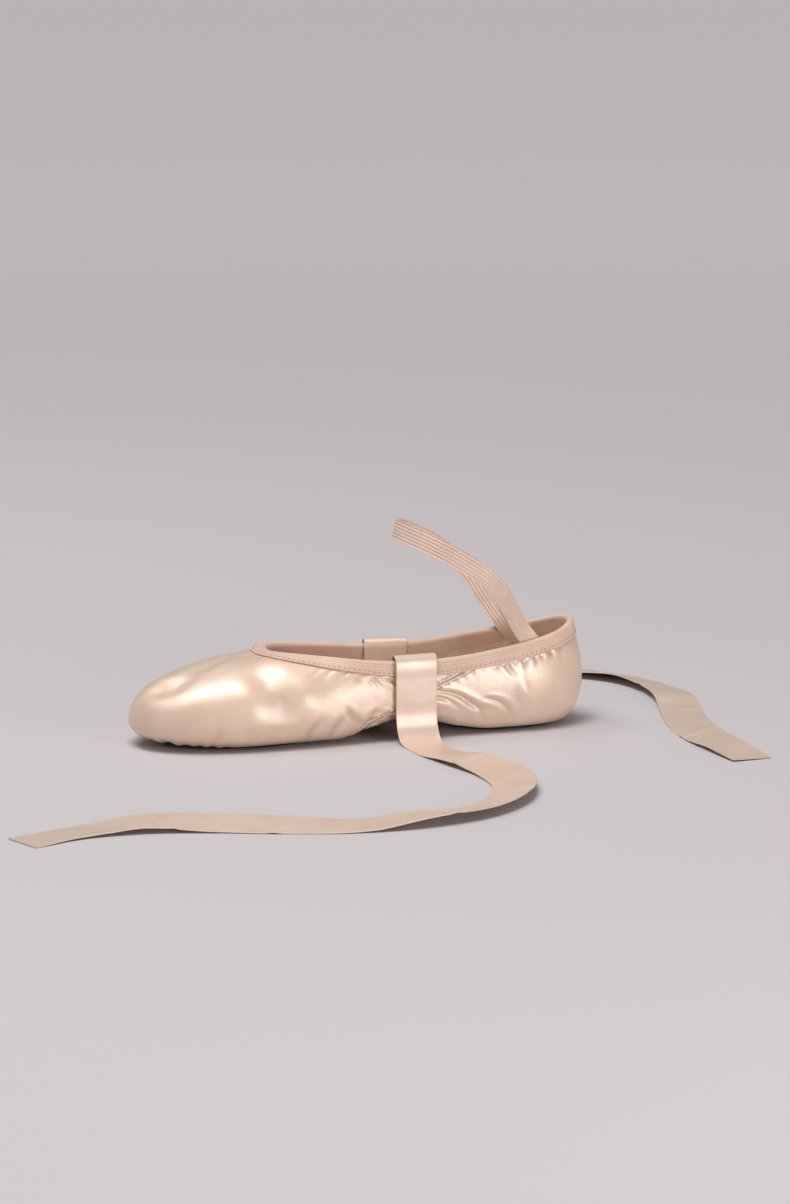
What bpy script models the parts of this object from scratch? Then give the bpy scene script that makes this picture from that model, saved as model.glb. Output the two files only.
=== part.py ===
"""Split-sole satin ballet slipper for the right foot, standing empty on its two suede pads.

The toe points along -X, the foot's inner side faces -Y and +Z is up. The origin is on the floor, in the
middle of the shoe's outline. Lengths are metres. The satin's outer face is one function, skin(), and
the binding, insole, strap and pads are read from it or from the floor line that it stands on.
"""

import math

import bmesh
import bpy
import numpy as np
from mathutils import Vector
from mathutils.geometry import delaunay_2d_cdt

MM = 0.001

# Sizes of the shoe
LENGTH = 240 * MM  # heel to toe, outside
BALL_WIDTH = 85 * MM  # across the ball of the foot, outside
INSTEP_HEIGHT = 44.5 * MM  # top of the satin over the floor at the throat
HEEL_HEIGHT = 53 * MM  # top of the satin over the floor at the back
TOE_SPRING = 4 * MM  # how far the toe end lifts
ARCH_RISE = 3.5 * MM  # how far the satin lifts between the pads
INNER_ARCH_LIFT = 5 * MM  # and how much more along the foot's inner edge

# Thicknesses and fits
WALL = 1.2 * MM  # satin with its cotton lining
GAP = 0.3 * MM  # between two pieces that touch
PAD_THICK = 1.8 * MM
PAD_INSET = 3.5 * MM  # pad's edge in from the edge of the flat underside
PAD_LAP = 6 * MM  # satin that a pad covers, all round
INSOLE_THICK = 1.2 * MM
INSOLE_MARGIN = 2.5 * MM
INSOLE_GAP = 0.45 * MM  # over the curved underside
BINDING_THICK = 0.9 * MM
BINDING_DEPTH = 6.5 * MM  # down each face of the collar

# Elastic strap round the ankle
STRAP_WIDTH = 10 * MM
STRAP_THICK = 1.2 * MM
STRAP_HEIGHT = 104 * MM  # its middle over the floor at the front of the ankle
ANKLE_WIDTH = 62 * MM
STRAP_CLEAR = 0.8 * MM  # flat strap against the round inside of the collar
STRAP_TUCK = 13 * MM  # stitched length under the collar's edge

# Satin ribbons
RIBBON_WIDTH = 22 * MM
RIBBON_THICK = 0.5 * MM
RIBBON_POINTS = 80

# Meshing
COLUMNS = 72  # around the shoe, an even number
END_PACKING = 0.45  # closer columns at toe and heel
PLATE_SPACING = 6 * MM  # of the points inside a flat piece

# One row for each place round the shoe, from the toe along the inner side, round the heel and back along
# the outer side. "along" is a share of LENGTH from the heel and "across" of BALL_WIDTH, minus inside.
# Heights are shares of the height between INSTEP_HEIGHT and HEEL_HEIGHT that holds there. "crown" is how
# far the satin runs level from the collar, "drop" how far it has fallen there, "full" how upright it stands
# over the widest line, and "hem" how far it turns in below that line, a share of BALL_WIDTH.
PLACES = (
    "side_along side_across side_height rim_along rim_across rim_height crown drop full hem".split()
)
SECTIONS = np.array(
    (
        (1.000, -0.100, 0.290, 0.700, -0.030, 1.000, 0.50, 0.12, 0.66, 0.140),
        (0.980, -0.280, 0.290, 0.697, -0.110, 1.005, 0.50, 0.13, 0.66, 0.140),
        (0.925, -0.415, 0.310, 0.686, -0.190, 1.010, 0.49, 0.16, 0.64, 0.140),
        (0.840, -0.488, 0.330, 0.662, -0.260, 1.000, 0.47, 0.22, 0.60, 0.135),
        (0.730, -0.508, 0.340, 0.612, -0.315, 0.960, 0.45, 0.30, 0.54, 0.130),
        (0.600, -0.465, 0.360, 0.537, -0.355, 0.885, 0.45, 0.33, 0.48, 0.130),
        (0.470, -0.405, 0.380, 0.445, -0.375, 0.815, 0.45, 0.33, 0.45, 0.125),
        (0.350, -0.370, 0.390, 0.345, -0.355, 0.785, 0.45, 0.33, 0.45, 0.115),
        (0.230, -0.358, 0.410, 0.235, -0.325, 0.815, 0.45, 0.33, 0.45, 0.110),
        (0.130, -0.335, 0.430, 0.140, -0.285, 0.870, 0.45, 0.33, 0.45, 0.110),
        (0.055, -0.265, 0.440, 0.072, -0.215, 0.930, 0.45, 0.33, 0.45, 0.120),
        (0.012, -0.145, 0.440, 0.034, -0.115, 0.985, 0.45, 0.33, 0.45, 0.130),
        (0.000, 0.000, 0.440, 0.023, 0.000, 1.000, 0.45, 0.33, 0.45, 0.135),
        (0.012, 0.140, 0.430, 0.034, 0.112, 0.985, 0.45, 0.33, 0.45, 0.130),
        (0.055, 0.260, 0.420, 0.072, 0.210, 0.930, 0.45, 0.33, 0.45, 0.120),
        (0.130, 0.333, 0.400, 0.140, 0.280, 0.865, 0.45, 0.33, 0.45, 0.110),
        (0.230, 0.365, 0.370, 0.235, 0.322, 0.800, 0.45, 0.33, 0.45, 0.110),
        (0.350, 0.395, 0.330, 0.345, 0.350, 0.750, 0.45, 0.33, 0.48, 0.110),
        (0.475, 0.440, 0.310, 0.445, 0.362, 0.765, 0.45, 0.33, 0.50, 0.115),
        (0.600, 0.482, 0.290, 0.537, 0.345, 0.830, 0.45, 0.32, 0.53, 0.120),
        (0.715, 0.480, 0.280, 0.612, 0.300, 0.900, 0.46, 0.27, 0.57, 0.125),
        (0.820, 0.415, 0.275, 0.664, 0.225, 0.955, 0.48, 0.20, 0.62, 0.130),
        (0.905, 0.300, 0.275, 0.689, 0.140, 0.975, 0.49, 0.16, 0.65, 0.135),
        (0.968, 0.130, 0.280, 0.698, 0.050, 0.990, 0.50, 0.13, 0.66, 0.140),
    )
)
HEEL_ROW = 12

# Floor line of the satin, from the heel to the toe: share of LENGTH, share of ARCH_RISE, share of TOE_SPRING
FLOOR_LINE = np.array(
    (
        (0.00, 0.0, 0.10),
        (0.04, 0.0, 0.00),
        (0.22, 0.0, 0.00),
        (0.30, 0.3, 0.00),
        (0.41, 1.0, 0.00),
        (0.50, 0.5, 0.00),
        (0.57, 0.0, 0.00),
        (0.80, 0.0, 0.00),
        (0.88, 0.0, 0.15),
        (0.95, 0.0, 0.50),
        (1.00, 0.0, 1.00),
    )
)
# Each pad starts at this end of the shoe and stops in the arch at this share of LENGTH from the heel
FRONT_PAD = ("toe", 0.545)
HEEL_PAD = ("heel", 0.310)
PAD_OVAL = 0.55  # share of a pad's length before its oval end starts

# The strap's arch over the front of the ankle: shares of LENGTH from the heel, of ANKLE_WIDTH and of STRAP_HEIGHT
STRAP_ARCH = (
    (0.181, -0.395, 0.596),
    (0.227, -0.465, 0.755),
    (0.305, -0.455, 0.885),
    (0.362, -0.340, 0.955),
    (0.398, -0.180, 0.990),
    (0.411, 0.000, 1.000),
)
STRAP_FOOT = 0.129  # where it meets the collar, share of LENGTH from the heel
STRAP_LEAN = 0.8  # how far it slants back for its depth there
ANKLE_ALONG = 0.20  # the leg's middle, share of LENGTH from the heel


# Each ribbon's route in millimetres, chosen by hand: x, y, the height of its middle and its bank in degrees. It
# is stitched inside the collar, folds over it, drops to the floor and lies there in a loose curve.
INNER_OUT = (0.100, -0.995)  # the way it falls, square to the collar
INNER_ROUTE = (
    (22.6, -27.3, 27.0, 0),
    (22.6, -27.3, 33.0, 0),
    (22.6, -27.3, 38.8, 0),
    (22.7, -28.2, 43.0, 0),
    (22.9, -31.0, 44.5, 0),
    (23.2, -33.8, 43.0, 0),
    (23.3, -35.0, 39.2, 0),
    (23.3, -35.0, 32.0, 0),
    (23.3, -35.0, 22.0, 0),
    (23.3, -35.0, 13.0, 0),
    (23.5, -36.6, 6.6, 0),
    (23.9, -40.6, 2.0, 0),
    (24.5, -46.8, 0.4, 0),
    (27.0, -64.0, 0.4, 0),
    (34.0, -90.0, 2.6, 3),
    (42.0, -116.0, 1.2, 9),
    (43.0, -144.0, 0.4, 13),
    (33.0, -171.0, 0.4, 14),
    (12.0, -193.0, 1.0, 11),
    (-18.0, -205.0, 3.2, 5),
    (-51.0, -207.0, 0.8, -2),
    (-84.0, -200.0, 0.4, -8),
    (-116.0, -190.0, 0.9, -9),
    (-148.0, -184.0, 3.0, -3),
    (-180.0, -187.0, 0.5, 2),
    (-206.0, -199.0, 0.4, 0),
)
OUTER_OUT = (0.100, 0.995)
OUTER_ROUTE = (
    (22.9, 28.8, 26.5, 0),
    (22.8, 27.7, 32.0, 0),
    (22.6, 26.3, 37.2, 0),
    (22.7, 27.2, 40.5, 0),
    (22.9, 29.8, 41.8, 0),
    (23.1, 32.4, 40.5, 0),
    (23.2, 33.8, 37.2, 0),
    (23.4, 35.1, 32.0, 0),
    (23.5, 36.2, 24.0, 0),
    (23.6, 36.4, 13.0, 0),
    (23.8, 37.8, 6.6, 0),
    (24.2, 42.1, 2.0, 0),
    (24.8, 48.3, 0.4, 0),
    (28.0, 67.0, 0.4, -4),
    (42.0, 91.0, 0.6, -10),
    (66.0, 110.0, 0.4, -14),
    (95.0, 119.0, 1.4, -8),
    (125.0, 118.0, 3.2, -3),
    (152.0, 107.0, 0.8, -8),
    (172.0, 85.0, 0.4, -13),
    (181.0, 57.0, 0.6, -10),
    (181.0, 27.0, 2.8, -3),
    (175.0, -3.0, 1.0, 3),
    (169.0, -33.0, 0.4, 7),
    (167.0, -63.0, 0.5, 7),
    (170.0, -93.0, 2.2, 1),
    (174.0, -118.0, 0.4, -2),
)


def closed_spline(knots, values, at):
    """Periodic cubic spline of period 1 with continuous curvature through (knots, values), read at `at`."""
    count = len(knots)
    step = np.diff(np.append(knots, knots[0] + 1.0))
    rise = np.diff(np.append(values, values[0])) / step
    system = np.zeros((count, count))
    for i in range(count):
        system[i, i - 1] += step[i - 1]
        system[i, i] += 2 * (step[i - 1] + step[i])
        system[i, (i + 1) % count] += step[i]
    bend = np.linalg.solve(system, 6 * (rise - np.roll(rise, 1)))
    at = np.mod(at, 1.0)
    i = np.searchsorted(knots, at, side="right") - 1
    j = (i + 1) % count
    h = step[i]
    b = (at - knots[i]) / h
    a = 1 - b
    return a * values[i] + b * values[j] + ((a**3 - a) * bend[i] + (b**3 - b) * bend[j]) * h * h / 6


def row_turns():
    """Each row's place on the way round, 0 at the toe and 0.5 at the heel, by the outline's length."""
    x = SECTIONS[:, 0] * LENGTH
    y = SECTIONS[:, 1] * BALL_WIDTH
    run = np.hypot(np.diff(x, append=x[0]), np.diff(y, append=y[0]))
    inner = np.concatenate([[0.0], np.cumsum(run[:HEEL_ROW])])
    outer = np.cumsum(run[HEEL_ROW:])
    return np.concatenate([0.5 * inner / inner[-1], 0.5 + 0.5 * outer[:-1] / outer[-1]])


TURNS = row_turns()


def place(name, turn):
    return closed_spline(TURNS, SECTIONS[:, PLACES.index(name)], turn)


def monotone(knots, values, at):
    """Cubic through the rows that never overshoots them, so a level stretch stays level."""
    at = np.clip(at, knots[0], knots[-1])
    slope = np.diff(values) / np.diff(knots)
    before, after = slope[:-1], slope[1:]
    same = before * after > 0
    mean = np.where(same, 2 * before * after / np.where(same, before + after, 1.0), 0.0)
    tangent = np.concatenate([slope[:1], mean, slope[-1:]])
    i = np.clip(np.searchsorted(knots, at, side="right") - 1, 0, len(knots) - 2)
    h = knots[i + 1] - knots[i]
    t = (at - knots[i]) / h
    return (
        (2 * t**3 - 3 * t**2 + 1) * values[i]
        + (t**3 - 2 * t**2 + t) * h * tangent[i]
        + (3 * t**2 - 2 * t**3) * values[i + 1]
        + (t**3 - t**2) * h * tangent[i + 1]
    )


def floor_line(x):
    """Height of the satin's underside over the floor along the shoe: pad, gap, arch and toe spring."""
    along = 0.5 - x / LENGTH
    arch = monotone(FLOOR_LINE[:, 0], FLOOR_LINE[:, 1], along)
    spring = monotone(FLOOR_LINE[:, 0], FLOOR_LINE[:, 2], along)
    return PAD_THICK + GAP + ARCH_RISE * arch + TOE_SPRING * spring


def underside(x, y):
    """The same at any place of the underside: the inner edge of the arch lifts more."""
    inner, outer = edge_across(x)
    near = np.clip(2 * (y - inner) / (outer - inner), 0, 1)
    arch = monotone(FLOOR_LINE[:, 0], FLOOR_LINE[:, 1], 0.5 - x / LENGTH)
    return floor_line(x) + INNER_ARCH_LIFT * arch * (1 - near) ** 2


def outline(turn):
    """Widest line of the shoe in plan, and the direction out of it."""
    x = LENGTH * (0.5 - place("side_along", turn))
    y = BALL_WIDTH * place("side_across", turn)
    small = 1e-4
    dx = -LENGTH * (place("side_along", turn + small) - place("side_along", turn - small))
    dy = BALL_WIDTH * (place("side_across", turn + small) - place("side_across", turn - small))
    size = np.hypot(dx, dy)
    return np.stack([x, y], axis=-1), np.stack([dy, -dx], axis=-1) / size[..., None]


def feather(turn, margin=0.0):
    """Edge of the flat underside in plan, or a line that lies a margin inside it."""
    side, out = outline(turn)
    return side - out * (BALL_WIDTH * place("hem", turn) + margin)[..., None]


def edge_across(x, margin=0.0):
    """Lowest and highest y at x of the line that lies a margin inside the underside's edge."""
    ends = edge_ends(margin)
    x = np.clip(x, ends[0], ends[1])[..., None]
    loop = feather(np.linspace(0, 1, 721), margin)
    (x0, y0), (x1, y1) = loop[:-1].T, loop[1:].T
    crossed = (x0 <= x) != (x1 <= x)
    y = y0 + (x - x0) / np.where(crossed, x1 - x0, 1.0) * (y1 - y0)
    return np.where(crossed, y, np.inf).min(axis=-1), np.where(crossed, y, -np.inf).max(axis=-1)


def edge_ends(margin):
    """The toe and heel ends of that line, with a hair's room."""
    x = feather(np.linspace(0, 1, 721), margin)[:, 0]
    return x.min() + 0.01 * MM, x.max() - 0.01 * MM


def bezier(corners, t):
    a, b, c, d = corners
    t = t[..., None]
    return (1 - t) ** 3 * a + 3 * t * (1 - t) ** 2 * b + 3 * t * t * (1 - t) * c + t**3 * d


def joined(plan, height):
    return np.concatenate([plan, height[..., None]], axis=-1)


def skin(turn, down):
    """Outer face of the satin. `turn` runs round the shoe and `down` from the collar's edge (0) over the
    widest line (1) to the underside's edge (2); both are arrays of one shape. Each column is two Bezier
    cubics, one above and one below the widest line."""
    side, out = outline(turn)
    local = INSTEP_HEIGHT + (HEEL_HEIGHT - INSTEP_HEIGHT) * (1 - np.cos(2 * np.pi * turn)) / 2
    side_z = local * place("side_height", turn)
    rim = np.stack([LENGTH * (0.5 - place("rim_along", turn)), BALL_WIDTH * place("rim_across", turn)], -1)
    rim_z = local * place("rim_height", turn)
    edge = feather(turn)
    edge_z = underside(edge[..., 0], edge[..., 1])
    fall = rim_z - side_z
    crown = place("crown", turn)[..., None]
    above = bezier(
        (
            joined(rim, rim_z),
            joined(rim + (side - rim) * crown, rim_z - fall * place("drop", turn)),
            joined(side, side_z + fall * place("full", turn)),
            joined(side, side_z),
        ),
        np.clip(down, 0, 1),
    )
    under = side_z - edge_z
    below = bezier(
        (
            joined(side, side_z),
            joined(side, side_z - under * 0.55),
            joined(edge + (side - edge) * 0.5, edge_z),
            joined(edge, edge_z),
        ),
        np.clip(down - 1, 0, 1),
    )
    return np.where((down <= 1)[..., None], above, below)


def skin_normal(turn, down):
    """Unit vector out of the satin, from the tangents round and down the shoe."""
    small = 1e-4
    across = skin(turn + small, down) - skin(turn - small, down)
    along = skin(turn, np.clip(down + small, 0, 2)) - skin(turn, np.clip(down - small, 0, 2))
    normal = np.cross(along, across)
    return normal / np.linalg.norm(normal, axis=-1, keepdims=True)


def offset_skin(turn, down, out):
    return skin(turn, down) + skin_normal(turn, down) * np.asarray(out)[..., None]


def down_at(turn, distance):
    """The `down` that lies `distance` along each column from the collar's edge."""
    steps = np.linspace(0, 1, 201)
    grid = np.broadcast_to(steps, (len(turn), len(steps)))
    points = skin(np.repeat(turn[:, None], len(steps), axis=1), grid)
    run = np.concatenate(
        [np.zeros((len(turn), 1)), np.cumsum(np.linalg.norm(np.diff(points, axis=1), axis=2), axis=1)], axis=1
    )
    return np.array([np.interp(distance, run[i], steps) for i in range(len(turn))])


def column_turns():
    u = np.arange(COLUMNS) / COLUMNS
    return u - END_PACKING * np.sin(4 * np.pi * u) / (4 * np.pi)


def material(name, colour, roughness):
    made = bpy.data.materials.new(name)
    made.use_nodes = True
    shader = made.node_tree.nodes["Principled BSDF"]
    shader.inputs["Base Color"].default_value = (*colour, 1)
    shader.inputs["Roughness"].default_value = roughness
    shader.inputs["Metallic"].default_value = 0
    made.diffuse_color = (*colour, 1)
    return made


def solid(name, points, faces, finish, sharp=40):
    """A closed mesh object: doubled points are joined, faces turned outward, round stretches shaded smooth."""
    mesh = bpy.data.meshes.new(name)
    mesh.from_pydata(np.asarray(points).reshape(-1, 3).tolist(), [], [list(map(int, f)) for f in faces])
    work = bmesh.new()
    work.from_mesh(mesh)
    bmesh.ops.remove_doubles(work, verts=work.verts, dist=1e-6)
    bmesh.ops.dissolve_degenerate(work, edges=work.edges, dist=1e-6)
    bmesh.ops.recalc_face_normals(work, faces=work.faces)
    if work.calc_volume(signed=True) < 0:
        bmesh.ops.reverse_faces(work, faces=work.faces)
    work.to_mesh(mesh)
    work.free()
    mesh.shade_smooth()
    mesh.set_sharp_from_angle(angle=math.radians(sharp))
    if finish:
        mesh.materials.append(finish)
    made = bpy.data.objects.new(name, mesh)
    bpy.context.collection.objects.link(made)
    return made


def sheet_faces(rows, columns, start=0, round_columns=False):
    """Quads of a grid whose point (i, j) is number start + i * columns + j; rows always close on themselves."""
    i, j = np.meshgrid(np.arange(rows), np.arange(columns if round_columns else columns - 1), indexing="ij")
    k = (i + 1) % rows
    m = (j + 1) % columns
    quads = np.stack([i * columns + j, k * columns + j, k * columns + m, i * columns + m], axis=-1)
    return (quads.reshape(-1, 4) + start).tolist()


def upper_rows(turn):
    """Rows down the satin: fixed distances under the binding, then shares of what is left."""
    near = down_at(turn, np.array((0.0, 0.5, 1.0, 1.6)) * BINDING_DEPTH)
    sides = near[:, -1:] + (1 - near[:, -1:]) * np.array((0.25, 0.50, 0.75, 1.0))
    below = np.broadcast_to(np.array((1.3, 1.6, 2.0)), (len(turn), 3))
    return np.concatenate([near, sides, below], axis=1)


def within(points, loop):
    """Which points lie inside a closed plan outline."""
    x, y = points[:, :1], points[:, 1:2]
    ax, ay = loop.T
    bx, by = np.roll(loop, -1, axis=0).T
    crosses = (ay > y) != (by > y)
    reach = ax + (y - ay) / np.where(by == ay, 1.0, by - ay) * (bx - ax)
    return np.count_nonzero(crosses & (x < reach), axis=1) % 2 == 1


def plate_mesh(loop, holes=(), spacing=PLATE_SPACING):
    """Triangles of a plan region: the points are the loop's, then each hole's, then a grid inside."""
    rings = [loop, *holes]
    lo, hi = np.floor(loop.min(axis=0) / spacing), np.ceil(loop.max(axis=0) / spacing)
    xs, ys = np.meshgrid(*(np.arange(a, b) * spacing for a, b in zip(lo, hi)), indexing="ij")
    inner = np.stack([xs.ravel(), ys.ravel()], axis=1)
    keep = within(inner, loop)
    for ring in rings:
        apart = np.linalg.norm(inner[:, None] - ring[None], axis=2).min(axis=1)
        keep &= apart > spacing * 0.6
    for hole in holes:
        keep &= ~within(inner, hole)
    points = np.concatenate([*rings, inner[keep]])
    edges = []
    start = 0
    for ring in rings:
        count = len(ring)
        edges += [(start + i, start + (i + 1) % count) for i in range(count)]
        start += count
    made = delaunay_2d_cdt([Vector(p) for p in points], edges, [], 1, 1e-9)
    faces = np.array([f for f in made[2]])
    centres = points[faces].mean(axis=1)
    inside = within(centres, loop)
    for hole in holes:
        inside &= ~within(centres, hole)
    return points, faces[inside]


def side_wall(start, other, count):
    """Quads that join ring `start` to ring `other`, each of `count` points in a row."""
    return [[start + i, start + (i + 1) % count, other + (i + 1) % count, other + i] for i in range(count)]


def plate(name, loop, low, thick, finish, sharp=30):
    """A sheet of even thickness over a plan outline; `low` gives its lower face's height."""
    points, faces = plate_mesh(loop)
    floor = low(points[:, 0], points[:, 1])
    both = np.concatenate([joined(points, floor), joined(points, floor + thick)])
    size = len(points)
    walls = side_wall(0, size, len(loop))
    return solid(name, both, faces.tolist() + (faces + size).tolist() + walls, finish, sharp)


def build_upper(finish):
    """The satin's wall: two offsets of the skin down to the underside's edge, and an underside with two openings."""
    turn = column_turns()
    down = upper_rows(turn)
    rows = down.shape[1]
    wide = np.repeat(turn[:, None], rows, axis=1)
    holes = [pad_outline(side, PAD_INSET + PAD_LAP, 32) for side in (FRONT_PAD, HEEL_PAD)]
    plan, triangles = plate_mesh(feather(turn), holes)
    layers, faces = [], []
    for out in (0.0, -WALL):
        wall = offset_skin(wide, down, np.full_like(down, out))
        flat = joined(plan, underside(plan[:, 0], plan[:, 1]) - out)
        wall[:, -1] = flat[:COLUMNS]
        start = sum(map(len, layers))
        wall_size = COLUMNS * rows
        faces += sheet_faces(COLUMNS, rows, start)
        number = np.arange(len(plan)) - COLUMNS + wall_size
        number[:COLUMNS] = np.arange(COLUMNS) * rows + rows - 1
        faces += (number[triangles] + start).tolist()
        layers.append(np.concatenate([wall.reshape(-1, 3), flat[COLUMNS:]]))
    size = len(layers[0])
    for i in range(COLUMNS):
        k = (i + 1) % COLUMNS
        faces.append([i * rows, k * rows, size + k * rows, size + i * rows])
    start = COLUMNS * rows
    for hole in holes:
        faces += side_wall(start, size + start, len(hole))
        start += len(hole)
    return solid("upper", np.concatenate(layers), faces, finish)


def pad_outline(pad, margin, count=44):
    """A pad's outline in plan: the underside's edge moved in, and an oval end towards the arch."""
    end, arch_end = pad
    toe, heel = edge_ends(margin)
    start = toe if end == "toe" else heel
    arch = LENGTH * (0.5 - arch_end) + math.copysign(margin, start)
    angle = (np.arange(count) + 0.5) / count * 2 * np.pi
    share = (1 - np.cos(angle)) / 2
    x = start + (arch - start) * share
    oval = np.sqrt(1 - (np.clip(share - PAD_OVAL, 0, 1) / (1 - PAD_OVAL)) ** 2)
    low, high = edge_across(x, margin)
    y = (low + high) / 2 + (high - low) / 2 * oval * np.sign(np.sin(angle))
    return np.stack([x, y], axis=-1)


def build_pads(finish):
    """Two suede pads under the satin, flat on the floor but for the toe spring."""
    for name, side in (("sole_front", FRONT_PAD), ("sole_heel", HEEL_PAD)):
        loop = pad_outline(side, PAD_INSET)
        plate(name, loop, lambda x, y: floor_line(x) - GAP - PAD_THICK, PAD_THICK, finish)


def build_insole(finish):
    """A thin sheet on the inner face of the satin's underside."""
    loop = feather(column_turns(), INSOLE_MARGIN)
    plate("insole", loop, lambda x, y: underside(x, y) + WALL + INSOLE_GAP, INSOLE_THICK, finish)


def build_binding(finish):
    """Folded elastic over the collar: an outer leg, a round fold and an inner leg, swept round the collar."""
    turn = column_turns()
    legs = down_at(turn, np.array((0.0, 0.5, 1.0)) * BINDING_DEPTH)
    rim = skin(turn, np.zeros_like(turn))
    normal = skin_normal(turn, np.zeros_like(turn))
    downward = skin(turn, np.full_like(turn, 0.01)) - rim
    downward /= np.linalg.norm(downward, axis=1, keepdims=True)
    ring = []

    def leg(down, out):
        ring.append(offset_skin(turn, down, np.full_like(turn, out)))

    def fold(radius, degrees):
        angle = math.radians(degrees)
        out = -WALL / 2 + radius * math.cos(angle)
        ring.append(rim + normal * out - downward * radius * math.sin(angle))

    near, far = GAP, GAP + BINDING_THICK
    for i in (2, 1, 0):
        leg(legs[:, i], far)
    for degrees in (45, 90, 135):
        fold(WALL / 2 + far, degrees)
    for i in (0, 1, 2):
        leg(legs[:, i], -WALL - far)
    for i in (2, 1, 0):
        leg(legs[:, i], -WALL - near)
    for degrees in (135, 90, 45):
        fold(WALL / 2 + near, degrees)
    for i in (0, 1, 2):
        leg(legs[:, i], near)
    points = np.stack(ring, axis=1)
    return solid("collar_binding", points, sheet_faces(COLUMNS, len(ring), round_columns=True), finish)


def open_spline(points, count):
    """A smooth curve through the rows, `count` points evenly spaced along it, and their tangents."""
    points = np.asarray(points, float)
    knots = np.concatenate([[0], np.cumsum(np.linalg.norm(np.diff(points[:, :3], axis=0), axis=1) ** 0.5)])
    tangent = np.gradient(points, knots, axis=0)
    fine = np.linspace(0, knots[-1], 40 * len(points))
    i = np.clip(np.searchsorted(knots, fine, side="right") - 1, 0, len(knots) - 2)
    h = (knots[i + 1] - knots[i])[:, None]
    t = (fine - knots[i])[:, None] / h
    curve = (
        (2 * t**3 - 3 * t**2 + 1) * points[i]
        + (t**3 - 2 * t**2 + t) * h * tangent[i]
        + (3 * t**2 - 2 * t**3) * points[i + 1]
        + (t**3 - t**2) * h * tangent[i + 1]
    )
    run = np.concatenate([[0], np.cumsum(np.linalg.norm(np.diff(curve[:, :3], axis=0), axis=1))])
    even = np.linspace(0, run[-1], count)
    read = np.stack([np.interp(even, run, curve[:, k]) for k in range(curve.shape[1])], axis=1)
    direction = np.gradient(read[:, :3], axis=0)
    return read, direction / np.linalg.norm(direction, axis=1, keepdims=True)


def strip(name, centres, widthways, normals, width, thick, finish):
    """A flat band with a rectangular section along `centres`, closed at both ends."""
    half, deep = width / 2, thick / 2
    section = ((-half, -deep), (half, -deep), (half, deep), (-half, deep))
    points = np.stack([centres + widthways * a + normals * b for a, b in section], axis=1)
    count = len(centres)
    faces = []
    for i in range(count - 1):
        for j in range(4):
            m = (j + 1) % 4
            faces.append([i * 4 + j, (i + 1) * 4 + j, (i + 1) * 4 + m, i * 4 + m])
    faces += [[0, 1, 2, 3], [4 * count - 4, 4 * count - 3, 4 * count - 2, 4 * count - 1]]
    return solid(name, points, faces, finish)


def strap_rows(sign):
    """Half of the strap, from its stitched end inside the collar to the front: centre and facing direction."""
    deep = WALL + GAP + BINDING_THICK + STRAP_CLEAR + STRAP_THICK / 2
    turns = np.linspace(0.25, 0.5, 500)
    if sign > 0:
        turns = 1 - turns
    rims = LENGTH * (0.5 - place("rim_along", turns))
    rows = []
    for depth in (1.0, 0.5, 0.0):
        want = LENGTH * (0.5 - STRAP_FOOT) + STRAP_LEAN * depth * STRAP_TUCK
        turn = np.array([turns[np.abs(rims - want).argmin()]])
        down = down_at(turn, np.array((depth * STRAP_TUCK,)))[:, 0]
        centre = offset_skin(turn, down, np.array([-deep]))[0]
        rows.append((*centre, *skin_normal(turn, down)[0]))
    clear = BINDING_THICK + WALL + STRAP_WIDTH / 2  # it leans outward only once it is over the binding
    rows.append((centre[0] - STRAP_LEAN * clear, centre[1], centre[2] + clear, *rows[-1][3:]))
    axis_x = LENGTH * (0.5 - ANKLE_ALONG)
    for along, across, height in STRAP_ARCH:
        centre = np.array((LENGTH * (0.5 - along), -sign * across * ANKLE_WIDTH, height * STRAP_HEIGHT))
        out = np.array((centre[0] - axis_x, centre[1] * 1.6, 0.012))
        rows.append((*centre, *(out / np.linalg.norm(out))))
    return rows


def build_strap(finish):
    inner, outer = strap_rows(-1), strap_rows(1)
    read, tangent = open_spline(inner + outer[-2::-1], 56)
    normal = read[:, 3:]
    widthways = np.cross(tangent, normal)
    widthways /= np.linalg.norm(widthways, axis=1, keepdims=True)
    normal = np.cross(widthways, tangent)
    return strip("elastic_strap", read[:, :3], widthways, normal, STRAP_WIDTH, STRAP_THICK, finish)


def ribbon(name, route, out, finish):
    """A limp ribbon along its route: level across the way it runs, but for its bank, and never under the floor."""
    rows = np.array(route, float) * (MM, MM, MM, math.pi / 180)
    read, tangent = open_spline(rows, RIBBON_POINTS)
    landed = np.arange(RIBBON_POINTS) >= np.argmax(read[:, 2] < MM)
    heading = np.where(landed[:, None], tangent[:, :2], np.array(out))
    heading /= np.linalg.norm(heading, axis=1, keepdims=True)
    level = np.stack([-heading[:, 1], heading[:, 0], np.zeros(RIBBON_POINTS)], axis=1)
    face = np.cross(tangent, level)
    bank = read[:, 3:]
    widthways = level * np.cos(bank) + face * np.sin(bank)
    normal = np.cross(tangent, widthways)
    centres = read[:, :3].copy()
    lowest = RIBBON_THICK / 2 + RIBBON_WIDTH / 2 * np.abs(widthways[:, 2])
    centres[:, 2] = np.maximum(centres[:, 2] + lowest - RIBBON_THICK / 2, lowest)
    print(name, "length", round(float(np.linalg.norm(np.diff(centres, axis=0), axis=1).sum()), 4))
    return strip(name, centres, widthways, normal, RIBBON_WIDTH, RIBBON_THICK, finish)


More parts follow.
